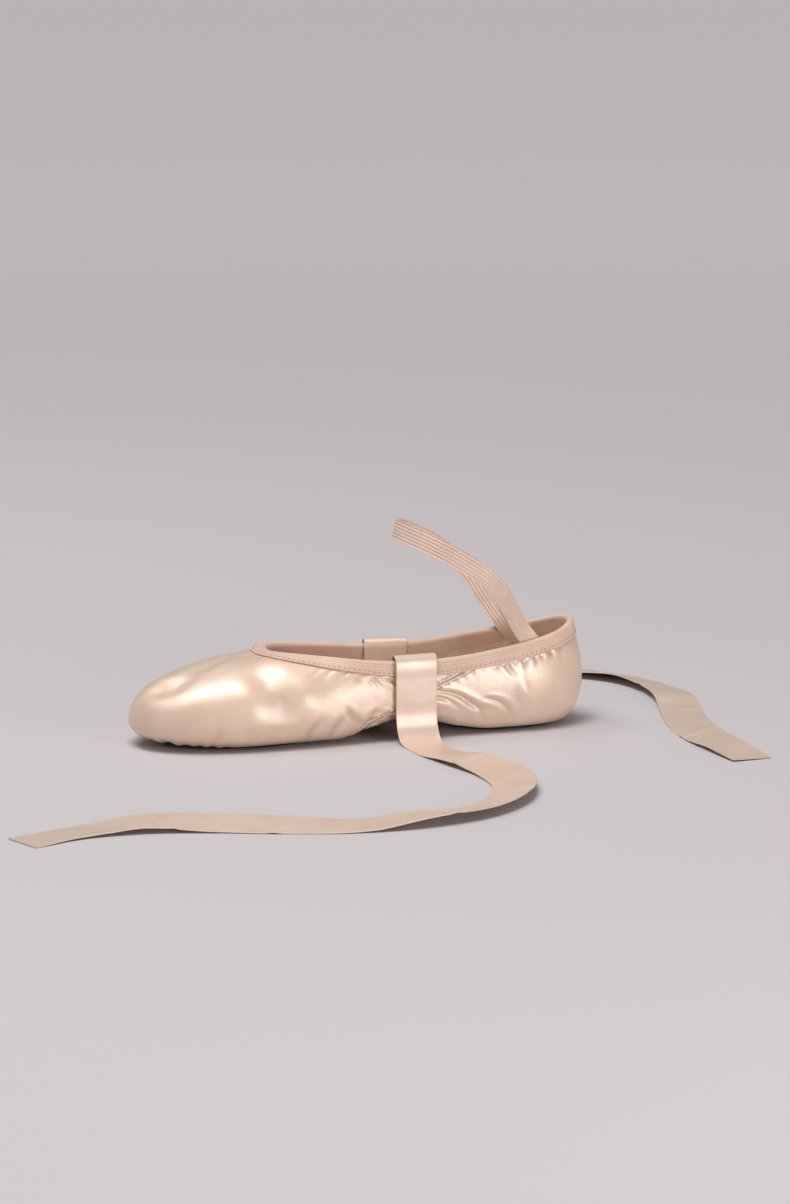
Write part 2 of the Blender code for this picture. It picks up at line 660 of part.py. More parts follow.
def main():
    for old in list(bpy.data.objects):
        bpy.data.objects.remove(old)
    satin = material("satin", (0.80, 0.62, 0.50), 0.35)
    suede = material("suede", (0.03, 0.028, 0.028), 0.9)
    lining = material("lining", (0.78, 0.68, 0.58), 0.85)
    elastic = material("elastic", (0.76, 0.56, 0.45), 0.6)
    ribbon_satin = material("ribbon_satin", (0.60, 0.42, 0.32), 0.4)
    build_upper(satin)
    build_pads(suede)
    build_insole(lining)
    build_binding(elastic)
    build_strap(elastic)
    ribbon("ribbon_inner", INNER_ROUTE, INNER_OUT, ribbon_satin)
    ribbon("ribbon_outer", OUTER_ROUTE, OUTER_OUT, ribbon_satin)


main()
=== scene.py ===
# %% [markdown]
# # A satin ballet slipper
# The real object is a soft dance shoe: a satin upper lined with cotton, pulled together by a ribbed elastic
# binding round its collar, two small suede pads under it, an elastic strap over the ankle and two satin
# ribbons. Everything here is a surface worked out with numpy, so that each fold and stitch has a size in
# millimetres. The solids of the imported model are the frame, and each finished piece stands for one of them.

import math

import bmesh
import bpy
import numpy as np
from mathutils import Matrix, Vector


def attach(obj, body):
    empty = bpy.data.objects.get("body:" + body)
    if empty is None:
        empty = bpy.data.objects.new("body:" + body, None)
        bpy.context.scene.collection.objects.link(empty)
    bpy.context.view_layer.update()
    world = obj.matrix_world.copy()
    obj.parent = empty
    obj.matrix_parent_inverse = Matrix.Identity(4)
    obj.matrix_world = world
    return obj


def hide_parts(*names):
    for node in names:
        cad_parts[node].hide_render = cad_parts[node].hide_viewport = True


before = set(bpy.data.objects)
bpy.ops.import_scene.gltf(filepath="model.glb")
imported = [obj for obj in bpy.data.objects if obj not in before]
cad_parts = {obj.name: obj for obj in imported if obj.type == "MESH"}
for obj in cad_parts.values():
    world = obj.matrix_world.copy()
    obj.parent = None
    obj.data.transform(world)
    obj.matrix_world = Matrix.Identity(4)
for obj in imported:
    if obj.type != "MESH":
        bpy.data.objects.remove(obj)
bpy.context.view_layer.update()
MM = 0.001

# %% [markdown]
# ## Where the picture is taken from
# The photograph was taken with a long lens, a little above the floor and a little from the toe's side of the
# foot's inner side. A camera far away with a narrow view has that flat perspective. It looks at a point over
# the shoe, so that the shoe stands in the lower half of the tall frame, as it does in the photograph.

# %% Camera
AZIMUTH, ELEVATION = math.radians(-14.5), math.radians(10.5)
DISTANCE = 2.1
FRAME_WIDTH = 0.405


def added(name, data):
    """A new object with its data, in the scene."""
    made = bpy.data.objects.new(name, data)
    bpy.context.collection.objects.link(made)
    return made


level = math.cos(ELEVATION)
look = Vector((-math.sin(AZIMUTH) * level, math.cos(AZIMUTH) * level, -math.sin(ELEVATION)))
target = Vector((0.021, 0.0, 0.066))
camera = added("camera", bpy.data.cameras.new("camera"))
camera.data.sensor_fit = "HORIZONTAL"
camera.data.lens = camera.data.sensor_width * DISTANCE / FRAME_WIDTH
camera.location = target - look * DISTANCE
camera.rotation_euler = look.to_track_quat("-Z", "Y").to_euler()
bpy.context.scene.camera = camera
print("camera height", round(camera.location.z, 3), "lens", round(camera.data.lens))

# %% [markdown]
# ## Meshes from grids
# Nearly every piece is a grid of points: so many places along it and so many across. The grid may close on
# itself either way, as a tube does, and its ends may be capped. The cloth coordinates of a face are the
# distances along the grid in metres, so a weave keeps its scale however the surface bends.

# %% A piece from a grid


def lengths(grid, axis):
    """Distance run along one direction of a grid of points: the sum of the straight steps so far."""
    step = np.linalg.norm(np.diff(grid, axis=axis), axis=-1)
    zero = np.zeros_like(np.take(step, [0], axis=axis))
    return np.concatenate([zero, np.cumsum(step, axis=axis)], axis=axis)


def unit(vectors):
    """Each vector over its own length."""
    return vectors / np.linalg.norm(vectors, axis=-1, keepdims=True)


def mesh_piece(name, points, faces, corners, finishes, slots):
    """A smooth mesh object with cloth coordinates, turned so that the volume it closes is positive."""
    mesh = bpy.data.meshes.new(name)
    mesh.from_pydata(points.tolist(), [], faces)
    layer = mesh.uv_layers.new(name="cloth")
    layer.data.foreach_set("uv", corners.ravel())
    for finish in finishes:
        mesh.materials.append(finish)
    mesh.polygons.foreach_set("material_index", slots)
    work = bmesh.new()
    work.from_mesh(mesh)
    outward = work.calc_volume(signed=True) > 0
    work.free()
    if not outward:
        mesh.flip_normals()
    mesh.shade_smooth()
    made = added(name, mesh)
    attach(made, "root")
    print(name, len(mesh.polygons), "faces")
    return made


def grid_piece(name, grid, finishes, loop=False, tube=False, index=None, slots=None, caps=""):
    """Quads over a grid (along, across). `loop` closes it along, `tube` closes it across, `index` names the
    point used at each place where two places share one, and `caps` closes the first and last "rows" or
    "columns" with one face each. `slots` picks a finish for each step across."""
    rows, columns = grid.shape[:2]
    if index is None:
        index = np.arange(rows * columns).reshape(rows, columns)
    wide = np.concatenate([grid, grid[:1]], axis=0) if loop else grid
    wide = np.concatenate([wide, wide[:, :1]], axis=1) if tube else wide
    u = np.repeat(lengths(wide, 0).mean(axis=1, keepdims=True), wide.shape[1], axis=1)
    uv = np.stack([u, lengths(wide, 1)], axis=-1)
    i, j = np.meshgrid(np.arange(len(wide) - 1), np.arange(wide.shape[1] - 1), indexing="ij")
    k, m = (i + 1) % rows, (j + 1) % columns
    quads = np.stack([index[i, j], index[k, j], index[k, m], index[i, m]], axis=-1).reshape(-1, 4)
    corners = np.stack([uv[i, j], uv[i + 1, j], uv[i + 1, j + 1], uv[i, j + 1]], axis=-2).reshape(-1, 4, 2)
    slot = np.zeros(quads.shape[0], int) if slots is None else np.asarray(slots)[j].ravel()
    used, quads = np.unique(quads, return_inverse=True)
    quads = quads.reshape(-1, 4)
    faces, corners = quads.tolist(), corners.reshape(-1, 2)
    place = {"rows": (index[0], index[-1]), "columns": (index[:, 0], index[:, -1])}.get(caps, ())
    for ring, back in zip(place, (True, False)):
        ring = np.searchsorted(used, ring)
        faces.append((ring[::-1] if back else ring).tolist())
        corners = np.concatenate([corners, np.zeros((len(ring), 2))])
        slot = np.append(slot, 0)
    return mesh_piece(name, grid.reshape(-1, 3)[used], faces, corners, finishes, slot)


# %% [markdown]
# ## The two ribbons' routes
# Each ribbon is stitched inside the collar, folds over it, drops to the floor and lies there in one loose
# curve, level across its width but for a slight bank, because a limp ribbon lies on what carries it. The
# routes repeat those of the solids.

# %% Route points: x, y and height of the ribbon's middle in mm, and its bank in degrees
RIBBON_WIDTH = 22 * MM
RIBBON_THICK = 0.5 * MM
ROUTES = {
    "ribbon_inner": (
        (0.100, -0.995),
        (
            (22.6, -27.3, 27.0, 0), (22.6, -27.3, 33.0, 0), (22.6, -27.3, 38.8, 0), (22.7, -28.2, 43.0, 0),
            (22.9, -31.0, 44.5, 0), (23.2, -33.8, 43.0, 0), (23.3, -35.0, 39.2, 0), (23.3, -35.0, 32.0, 0),
            (23.3, -35.0, 22.0, 0), (23.3, -35.0, 13.0, 0), (23.5, -36.6, 6.6, 0), (23.9, -40.6, 2.0, 0),
            (24.5, -46.8, 0.4, 0), (27.0, -64.0, 0.4, 0), (34.0, -90.0, 2.6, 3), (42.0, -116.0, 1.2, 9),
            (43.0, -144.0, 0.4, 13), (33.0, -171.0, 0.4, 14), (12.0, -193.0, 1.0, 11),
            (-18.0, -205.0, 3.2, 5), (-51.0, -207.0, 0.8, -2), (-84.0, -200.0, 0.4, -8),
            (-116.0, -190.0, 0.9, -9), (-148.0, -184.0, 3.0, -3), (-180.0, -187.0, 0.5, 2),
            (-206.0, -199.0, 0.4, 0),
        ),
    ),
    "ribbon_outer": (
        (0.100, 0.995),
        (
            (22.9, 28.8, 26.5, 0), (22.8, 27.7, 32.0, 0), (22.6, 26.3, 37.2, 0), (22.7, 27.2, 40.5, 0),
            (22.9, 29.8, 41.8, 0), (23.1, 32.4, 40.5, 0), (23.2, 33.8, 37.2, 0), (23.4, 35.1, 32.0, 0),
            (23.5, 36.2, 24.0, 0), (23.6, 36.4, 13.0, 0), (23.8, 37.8, 6.6, 0), (24.2, 42.1, 2.0, 0),
            (24.8, 48.3, 0.4, 0), (28.0, 67.0, 0.4, -4), (42.0, 91.0, 0.6, -10), (66.0, 110.0, 0.4, -14),
            (95.0, 119.0, 1.4, -8), (125.0, 118.0, 3.2, -3), (152.0, 107.0, 0.8, -8),
            (172.0, 85.0, 0.4, -13), (181.0, 57.0, 0.6, -10), (181.0, 27.0, 2.8, -3),
            (175.0, -3.0, 1.0, 3), (169.0, -33.0, 0.4, 7), (167.0, -63.0, 0.5, 7), (170.0, -93.0, 2.2, 1),
            (174.0, -118.0, 0.4, -2),
        ),
    ),
}


def cubics(knots, values, slopes, at):
    """One cubic between each two knots, which leaves and meets their values with the slopes given there."""
    i = np.clip(np.searchsorted(knots, at, side="right") - 1, 0, len(knots) - 2)
    h = knots[i + 1] - knots[i]
    t = (at - knots[i]) / h
    return (
        (2 * t**3 - 3 * t**2 + 1) * values[i]
        + (t**3 - 2 * t**2 + t) * h * slopes[i]
        + (3 * t**2 - 2 * t**3) * values[i + 1]
        + (t**3 - t**2) * h * slopes[i + 1]
    )


def open_spline(rows, count):
    """A smooth curve through the rows, read at evenly spaced points, with its tangents. Each stretch is the
    cubic that leaves and meets its rows with the slope from one neighbour to the other."""
    rows = np.asarray(rows, float)
    knots = np.concatenate([[0], np.cumsum(np.linalg.norm(np.diff(rows[:, :3], axis=0), axis=1) ** 0.5)])
    slope = np.gradient(rows, knots, axis=0)
    fine = np.linspace(0, knots[-1], 40 * len(rows))
    curve = np.stack([cubics(knots, *column, fine) for column in zip(rows.T, slope.T)], axis=1)
    run = lengths(curve[:, :3], 0)
    even = np.linspace(0, run[-1], count)
    read = np.stack([np.interp(even, run, column) for column in curve.T], axis=1)
    return read, unit(np.gradient(read[:, :3], axis=0))


def ribbon_frame(route, out, count):
    """Middle line, width direction and face direction of a ribbon: level across its heading, then banked."""
    read, tangent = open_spline(np.array(route, float) * (MM, MM, MM, math.pi / 180), count)
    landed = np.arange(count) >= np.argmax(read[:, 2] < MM)
    heading = unit(np.where(landed[:, None], tangent[:, :2], np.array(out)))
    level = np.stack([-heading[:, 1], heading[:, 0], np.zeros(count)], axis=1)
    face = np.cross(tangent, level)
    bank = read[:, 3:]
    widthways = level * np.cos(bank) + face * np.sin(bank)
    middle = read[:, :3].copy()
    lowest = RIBBON_THICK / 2 + RIBBON_WIDTH / 2 * np.abs(widthways[:, 2])
    middle[:, 2] = np.maximum(middle[:, 2] + lowest - RIBBON_THICK / 2, lowest)
    return middle, widthways, np.cross(tangent, widthways)


RIBBONS = {name: ribbon_frame(route, out, 480) for name, (out, route) in ROUTES.items()}
for name, (middle, _, _) in RIBBONS.items():
    print(name, "length", round(float(lengths(middle, 0)[-1]), 4))

# %% [markdown]
# ## The shape of the foot
# The upper has no straight line in it. It is one function of two parameters: how far round the shoe, and how
# far down from the collar. A short table gives the widest line, the collar and the turn-in at 24 places, as
# shares of the shoe's own sizes, and a smooth spline runs through each column of the table. The same table
# made the solids, so the satin made here lies where they are.

# %% Sizes and the table of places
LENGTH = 240 * MM
BALL_WIDTH = 85 * MM
INSTEP_HEIGHT = 44.5 * MM
HEEL_HEIGHT = 53 * MM
TOE_SPRING = 4 * MM
ARCH_RISE = 3.5 * MM
INNER_ARCH_LIFT = 5 * MM
WALL = 1.2 * MM
GAP = 0.3 * MM
PAD_THICK = 1.8 * MM
PAD_INSET = 3.5 * MM
BINDING_THICK = 0.9 * MM
BINDING_DEPTH = 6.5 * MM

PLACES = "side_along side_across side_height rim_along rim_across rim_height crown drop full hem".split()
SECTIONS = np.array(
    (
        (1.000, -0.100, 0.290, 0.700, -0.030, 1.000, 0.50, 0.12, 0.66, 0.140),
        (0.980, -0.280, 0.290, 0.697, -0.110, 1.005, 0.50, 0.13, 0.66, 0.140),
        (0.925, -0.415, 0.310, 0.686, -0.190, 1.010, 0.49, 0.16, 0.64, 0.140),
        (0.840, -0.488, 0.330, 0.662, -0.260, 1.000, 0.47, 0.22, 0.60, 0.135),
        (0.730, -0.508, 0.340, 0.612, -0.315, 0.960, 0.45, 0.30, 0.54, 0.130),
        (0.600, -0.465, 0.360, 0.537, -0.355, 0.885, 0.45, 0.33, 0.48, 0.130),
        (0.470, -0.405, 0.380, 0.445, -0.375, 0.815, 0.45, 0.33, 0.45, 0.125),
        (0.350, -0.370, 0.390, 0.345, -0.355, 0.785, 0.45, 0.33, 0.45, 0.115),
        (0.230, -0.358, 0.410, 0.235, -0.325, 0.815, 0.45, 0.33, 0.45, 0.110),
        (0.130, -0.335, 0.430, 0.140, -0.285, 0.870, 0.45, 0.33, 0.45, 0.110),
        (0.055, -0.265, 0.440, 0.072, -0.215, 0.930, 0.45, 0.33, 0.45, 0.120),
        (0.012, -0.145, 0.440, 0.034, -0.115, 0.985, 0.45, 0.33, 0.45, 0.130),
        (0.000, 0.000, 0.440, 0.023, 0.000, 1.000, 0.45, 0.33, 0.45, 0.135),
        (0.012, 0.140, 0.430, 0.034, 0.112, 0.985, 0.45, 0.33, 0.45, 0.130),
        (0.055, 0.260, 0.420, 0.072, 0.210, 0.930, 0.45, 0.33, 0.45, 0.120),
        (0.130, 0.333, 0.400, 0.140, 0.280, 0.865, 0.45, 0.33, 0.45, 0.110),
        (0.230, 0.365, 0.370, 0.235, 0.322, 0.800, 0.45, 0.33, 0.45, 0.110),
        (0.350, 0.395, 0.330, 0.345, 0.350, 0.750, 0.45, 0.33, 0.48, 0.110),
        (0.475, 0.440, 0.310, 0.445, 0.362, 0.765, 0.45, 0.33, 0.50, 0.115),
        (0.600, 0.482, 0.290, 0.537, 0.345, 0.830, 0.45, 0.32, 0.53, 0.120),
        (0.715, 0.480, 0.280, 0.612, 0.300, 0.900, 0.46, 0.27, 0.57, 0.125),
        (0.820, 0.415, 0.275, 0.664, 0.225, 0.955, 0.48, 0.20, 0.62, 0.130),
        (0.905, 0.300, 0.275, 0.689, 0.140, 0.975, 0.49, 0.16, 0.65, 0.135),
        (0.968, 0.130, 0.280, 0.698, 0.050, 0.990, 0.50, 0.13, 0.66, 0.140),
    )
)
HEEL_ROW = 12
FLOOR_LINE = np.array(
    (
        (0.00, 0.0, 0.10), (0.04, 0.0, 0.00), (0.22, 0.0, 0.00), (0.30, 0.3, 0.00), (0.41, 1.0, 0.00),
        (0.50, 0.5, 0.00), (0.57, 0.0, 0.00), (0.80, 0.0, 0.00), (0.88, 0.0, 0.15), (0.95, 0.0, 0.50),
        (1.00, 0.0, 1.00),
    )
)


SMALL = 1e-4  # step for tangents, as a share of the way round or down
FINE_TURNS = np.linspace(0, 1, 721)


def row_turns():
    """Each row's place round the shoe, 0 at the toe and 0.5 at the heel, by the outline's length."""
    x, y = SECTIONS[:, 0] * LENGTH, SECTIONS[:, 1] * BALL_WIDTH
    run = np.hypot(np.diff(x, append=x[0]), np.diff(y, append=y[0]))
    inner = np.concatenate([[0.0], np.cumsum(run[:HEEL_ROW])])
    outer = np.cumsum(run[HEEL_ROW:])
    return np.concatenate([0.5 * inner / inner[-1], 0.5 + 0.5 * outer[:-1] / outer[-1]])


TURNS = row_turns()
print("rows", len(SECTIONS), "widest outline", round(float(np.ptp(SECTIONS[:, 1]) * BALL_WIDTH / MM)), "mm")

# %% Splines through the table


def place(name, turn):
    """Periodic cubic spline of period 1 with continuous curvature through one column of the table: the
    second derivatives at the rows solve one linear system, and each stretch is the cubic between them."""
    values = SECTIONS[:, PLACES.index(name)]
    count = len(TURNS)
    step = np.diff(np.append(TURNS, TURNS[0] + 1.0))
    rise = np.diff(np.append(values, values[0])) / step
    row = np.arange(count)
    system = np.zeros((count, count))
    system[row, row - 1] += np.roll(step, 1)
    system[row, row] += 2 * (np.roll(step, 1) + step)
    system[row, (row + 1) % count] += step
    bend = np.linalg.solve(system, 6 * (rise - np.roll(rise, 1)))
    turn = np.mod(turn, 1.0)
    i = np.searchsorted(TURNS, turn, side="right") - 1
    j = (i + 1) % count
    b = (turn - TURNS[i]) / step[i]
    a = 1 - b
    return a * values[i] + b * values[j] + ((a**3 - a) * bend[i] + (b**3 - b) * bend[j]) * step[i] ** 2 / 6


def monotone(knots, values, at):
    """Cubics through the rows that never overshoot them: the slope at a row is the harmonic mean of its
    neighbours' slopes, or level where they differ in sign."""
    at = np.clip(at, knots[0], knots[-1])
    slope = np.diff(values) / np.diff(knots)
    before, after = slope[:-1], slope[1:]
    same = before * after > 0
    mean = np.where(same, 2 * before * after / np.where(same, before + after, 1.0), 0.0)
    tangent = np.concatenate([slope[:1], mean, slope[-1:]])
    return cubics(knots, values, tangent, at)


def floor_line(x):
    """Height of the satin's underside over the floor: pad, gap, arch and toe spring."""
    along = 0.5 - x / LENGTH
    arch = monotone(FLOOR_LINE[:, 0], FLOOR_LINE[:, 1], along)
    spring = monotone(FLOOR_LINE[:, 0], FLOOR_LINE[:, 2], along)
    return PAD_THICK + GAP + ARCH_RISE * arch + TOE_SPRING * spring


def outline(turn):
    """The widest line in plan, and the direction out of it, square to its tangent."""
    x = LENGTH * (0.5 - place("side_along", turn))
    y = BALL_WIDTH * place("side_across", turn)
    dx = -LENGTH * (place("side_along", turn + SMALL) - place("side_along", turn - SMALL))
    dy = BALL_WIDTH * (place("side_across", turn + SMALL) - place("side_across", turn - SMALL))
    return np.stack([x, y], axis=-1), unit(np.stack([dy, -dx], axis=-1))


def feather(turn, margin=0.0):
    """Edge of the flat underside in plan, or a line that lies a margin inside it."""
    side, out = outline(turn)
    return side - out * (BALL_WIDTH * place("hem", turn) + margin)[..., None]


def edge_across(x, margin=0.0):
    """Lowest and highest y at x of that line."""
    loop = feather(FINE_TURNS, margin)
    x = np.clip(x, loop[:, 0].min() + 1e-5, loop[:, 0].max() - 1e-5)[..., None]
    (x0, y0), (x1, y1) = loop[:-1].T, loop[1:].T
    crossed = (x0 <= x) != (x1 <= x)
    y = y0 + (x - x0) / np.where(crossed, x1 - x0, 1.0) * (y1 - y0)
    return np.where(crossed, y, np.inf).min(axis=-1), np.where(crossed, y, -np.inf).max(axis=-1)


EDGE_X = np.linspace(-0.12, 0.12, 241)
EDGE_LOW, EDGE_HIGH = edge_across(EDGE_X)


def underside(x, y):
    """Height of the underside anywhere: the floor line, and more along the inner edge of the arch."""
    inner, outer = np.interp(x, EDGE_X, EDGE_LOW), np.interp(x, EDGE_X, EDGE_HIGH)
    near = np.clip(2 * (y - inner) / np.maximum(outer - inner, 1e-6), 0, 1)
    arch = monotone(FLOOR_LINE[:, 0], FLOOR_LINE[:, 1], 0.5 - x / LENGTH)
    return floor_line(x) + INNER_ARCH_LIFT * arch * (1 - near) ** 2


print("underside is", round(float(floor_line(np.array(0.0)) / MM), 1), "mm over the floor at the middle")

# %% [markdown]
# ## The satin's outer face
# Down each place round the shoe the satin runs over the instep or side as one Bezier curve, and turns in
# below the widest line as a second. Below that it lies flat up to a line along the middle of the sole, where
# the inner and outer halves share their points. One function gives all of it.

# %% skin: the outer face


def bezier(corners, t):
    """The cubic with four corner points: weights (1-t)^3, 3t(1-t)^2, 3t^2(1-t) and t^3."""
    a, b, c, d = corners
    t = t[..., None]
    return (1 - t) ** 3 * a + 3 * t * (1 - t) ** 2 * b + 3 * t * t * (1 - t) * c + t**3 * d


def joined(plan, height):
    """Points (x, y, z) from points (x, y) and heights z."""
    return np.concatenate([plan, height[..., None]], axis=-1)


KEEL_START, KEEL_SPAN = 0.03, 0.88  # the middle line stops short of the toe's and the heel's edge


def keel(turn):
    """The line along the middle of the sole: halfway between the two edges at the same share of the way."""
    share = KEEL_START + KEEL_SPAN * np.minimum(turn, 1 - turn)
    return (feather(share) + feather(1 - share)) / 2


def skin(turn, down):
    """`down` runs from the collar's edge (0) over the widest line (1) and the underside's edge (2) to the
    middle of the sole (3). `turn` and `down` are arrays of one shape."""
    side, _ = outline(turn)
    local = INSTEP_HEIGHT + (HEEL_HEIGHT - INSTEP_HEIGHT) * (1 - np.cos(2 * np.pi * turn)) / 2
    side_z = local * place("side_height", turn)
    rim = np.stack([LENGTH * (0.5 - place("rim_along", turn)), BALL_WIDTH * place("rim_across", turn)], -1)
    rim_z = local * place("rim_height", turn)
    edge = feather(turn)
    edge_z = underside(edge[..., 0], edge[..., 1])
    fall = rim_z - side_z
    above = bezier(
        (
            joined(rim, rim_z),
            joined(rim + (side - rim) * place("crown", turn)[..., None], rim_z - fall * place("drop", turn)),
            joined(side, side_z + fall * place("full", turn)),
            joined(side, side_z),
        ),
        np.clip(down, 0, 1),
    )
    below = bezier(
        (
            joined(side, side_z),
            joined(side, side_z - (side_z - edge_z) * 0.55),
            joined(edge + (side - edge) * 0.5, edge_z),
            joined(edge, edge_z),
        ),
        np.clip(down - 1, 0, 1),
    )
    flat = edge + (keel(turn) - edge) * np.clip(down - 2, 0, 1)[..., None]
    bottom = joined(flat, underside(flat[..., 0], flat[..., 1]))
    return np.select([(down <= 1)[..., None], (down <= 2)[..., None]], [above, below], bottom)


def skin_normal(turn, down):
    """Unit vector out of the satin, from the tangents round and down the shoe; straight down below."""
    top = np.clip(down, 0, 2)
    across = skin(turn + SMALL, top) - skin(turn - SMALL, top)
    along = skin(turn, np.clip(top + SMALL, 0, 2)) - skin(turn, np.clip(top - SMALL, 0, 2))
    flat = np.clip((down - 1.9) / 0.1, 0, 1)[..., None]
    return unit(unit(np.cross(along, across)) * (1 - flat) + np.array((0, 0, -1.0)) * flat)


def even_turns(count):
    """Places round the shoe, closer together at the toe and heel where it bends most."""
    u = np.arange(count) / count
    return u - 0.45 * np.sin(4 * np.pi * u) / (4 * np.pi)


def down_at(turn, distance):
    """The `down` that lies `distance` along each column from the collar's edge."""
    steps = np.linspace(0, 1, 201)
    wide = np.repeat(turn[:, None], len(steps), axis=1)
    run = lengths(skin(wide, np.broadcast_to(steps, wide.shape)), 1)
    return np.stack([np.interp(distance, run[i], steps) for i in range(len(turn))])


edge_points = skin(even_turns(200), np.zeros(200))
print("collar is", round(float(lengths(edge_points, 0)[-1] / MM)), "mm round")

# %% [markdown]
# ## Folds, seams and gathers
# Satin on a soft shoe is never smooth. The elastic binding gathers it into short wrinkles, the curved seam
# between the front and heel parts puckers, and the toe is pleated into the sole. Each main crease is listed
# one by one: its two ends seen from the side or from above, half its width and its depth, all in millimetres.
# A crease is a trough with a soft ridge on either side, as cloth that is pushed together makes.

# %% Tables of creases
# side, x and height of one end, x and height of the other, half width, depth, share left at the far end
SIDE_FOLDS = (
    (-1, 68.1, 39.2, 72.6, 32.5, 1.15, -0.95, 0.3),
    (-1, 72.3, 40.2, 77.4, 29.5, 1.35, -1.25, 0.2),
    (-1, 75.2, 40.8, 78.3, 35.0, 0.95, -0.70, 0.2),
    (-1, 78.6, 41.4, 83.4, 32.5, 1.30, -1.15, 0.2),
    (-1, 82.1, 42.4, 84.2, 37.5, 0.90, -0.60, 0.2),
    (-1, 85.4, 43.7, 89.2, 34.0, 1.35, -1.20, 0.2),
    (-1, 90.7, 44.7, 93.4, 37.0, 1.20, -0.95, 0.2),
    (-1, 97.5, 45.7, 99.0, 38.0, 1.30, -0.80, 0.2),
    (-1, 103.0, 47.0, 103.6, 41.0, 1.20, -0.60, 0.2),
    (-1, 64.3, 37.7, 66.8, 32.5, 1.00, -0.70, 0.3),
    (-1, -3.2, 34.6, -0.6, 29.5, 1.10, -0.60, 0.3),
    (-1, 0.3, 33.7, 5.4, 26.8, 1.30, -0.95, 0.3),
    (-1, 4.9, 33.2, 8.0, 29.0, 0.95, -0.65, 0.3),
    (-1, 8.7, 32.7, 17.8, 23.8, 1.40, -1.25, 0.2),
    (-1, 15.5, 32.0, 18.4, 28.8, 0.95, -0.60, 0.3),
    (-1, 21.2, 31.8, 25.4, 27.6, 1.10, -0.90, 0.3),
    (-1, 29.4, 31.4, 32.6, 26.6, 1.15, -0.90, 0.3),
    (-1, 37.0, 34.0, 40.2, 31.0, 0.95, -0.70, 0.3),
    (-1, 44.0, 35.0, 46.8, 32.6, 0.90, -0.60, 0.3),
    (-1, -8.5, 36.5, -5.6, 31.5, 1.20, -0.55, 0.2),
    (-1, -15.0, 38.6, -12.4, 33.5, 1.20, -0.45, 0.2),
    (-1, 34.6, 21.8, 48.0, 14.0, 1.6, -0.95, 0.5),
    (-1, 38.0, 24.4, 60.0, 10.5, 1.9, -1.15, 0.6),
    (-1, 47.0, 22.0, 66.0, 13.5, 2.0, -0.70, 0.4),
    (-1, 62.5, 19.5, 76.0, 9.8, 1.9, -1.05, 0.5),
    (-1, 22.0, 17.8, 41.0, 15.2, 1.7, -0.85, 0.5),
    (-1, 12.0, 12.5, 30.0, 11.0, 1.9, -0.70, 0.5),
    (-1, 80.0, 28.0, 92.0, 12.0, 4.2, 0.70, 0.6),
    (-1, -12.6, 19.0, -4.4, 10.5, 1.8, -1.40, 0.7),
    (-1, -34.0, 4.5, -28.0, 14.5, 2.1, -1.60, 0.3),
    (-1, -21.5, 5.5, -14.5, 15.5, 2.1, -1.60, 0.3),
    (-1, -1.5, 9.5, 4.5, 18.5, 1.8, -1.10, 0.3),
    (-1, -60.0, 40.0, -47.0, 15.0, 9.0, -1.90, 0.8),
    (-1, -36.0, 33.0, -24.0, 14.0, 8.0, 0.55, 0.8),
    (-1, -82.0, 7.0, -79.0, 14.5, 3.4, -0.60, 0.3),
    (1, 88.5, 43.0, 79.0, 27.0, 1.9, -0.75, 0.3),
    (1, 80.5, 41.5, 70.0, 25.5, 2.0, -0.80, 0.4),
    (1, 72.0, 39.0, 62.5, 25.0, 1.8, -0.70, 0.4),
    (1, 64.5, 37.5, 52.0, 21.0, 2.1, -0.85, 0.4),
    (1, 55.5, 36.0, 46.5, 24.5, 1.7, -0.65, 0.3),
    (1, 48.0, 35.0, 36.5, 18.5, 2.0, -0.75, 0.4),
    (1, 40.5, 34.0, 33.0, 24.0, 1.6, -0.55, 0.3),
    (1, 94.5, 45.0, 88.5, 31.0, 1.7, -0.60, 0.2),
    (1, 20.5, 33.5, 16.5, 27.0, 1.5, -0.55, 0.3),
    (1, 12.0, 33.5, 6.5, 25.5, 1.7, -0.60, 0.3),
    (1, 3.5, 34.5, -0.5, 28.5, 1.5, -0.45, 0.3),
    (1, -12.0, 7.0, -16.5, 14.5, 2.2, -0.85, 0.3),
    (1, -24.0, 6.5, -30.0, 13.0, 2.3, -0.75, 0.3),
    (1, 10.0, 8.5, 22.0, 14.5, 2.1, -0.75, 0.4),
    (1, 30.0, 8.0, 50.0, 16.5, 2.6, -0.70, 0.5),
    (1, -58.0, 38.0, -44.0, 12.0, 10.5, -0.80, 0.8),
)
# x and y of one end, x and y of the other, half width, depth, share left at the far end
TOP_FOLDS = (
    (-110.0, -14.0, -91.0, -24.0, 7.6, -2.30, 0.9),
    (-87.0, -15.0, -70.0, 3.0, 6.5, -1.20, 0.8),
    (-64.0, -4.0, -58.0, 15.0, 6.0, -0.45, 0.8),
    (-51.5, -15.0, -58.0, -21.0, 1.5, -0.35, 0.3),
    (-51.5, 14.0, -57.5, 19.0, 1.5, -0.35, 0.3),
)


def eased(value, low, high):
    """0 up to `low`, 1 from `high` on, and the smooth cubic 3t^2 - 2t^3 between them; `high` may be less."""
    t = np.clip((value - low) / (high - low), 0, 1)
    return t * t * (3 - 2 * t)


def bell(distance, width):
    """e^(-(distance / width)^2): 1 in the middle and next to nothing from two widths on."""
    return np.exp(-((distance / width) ** 2))


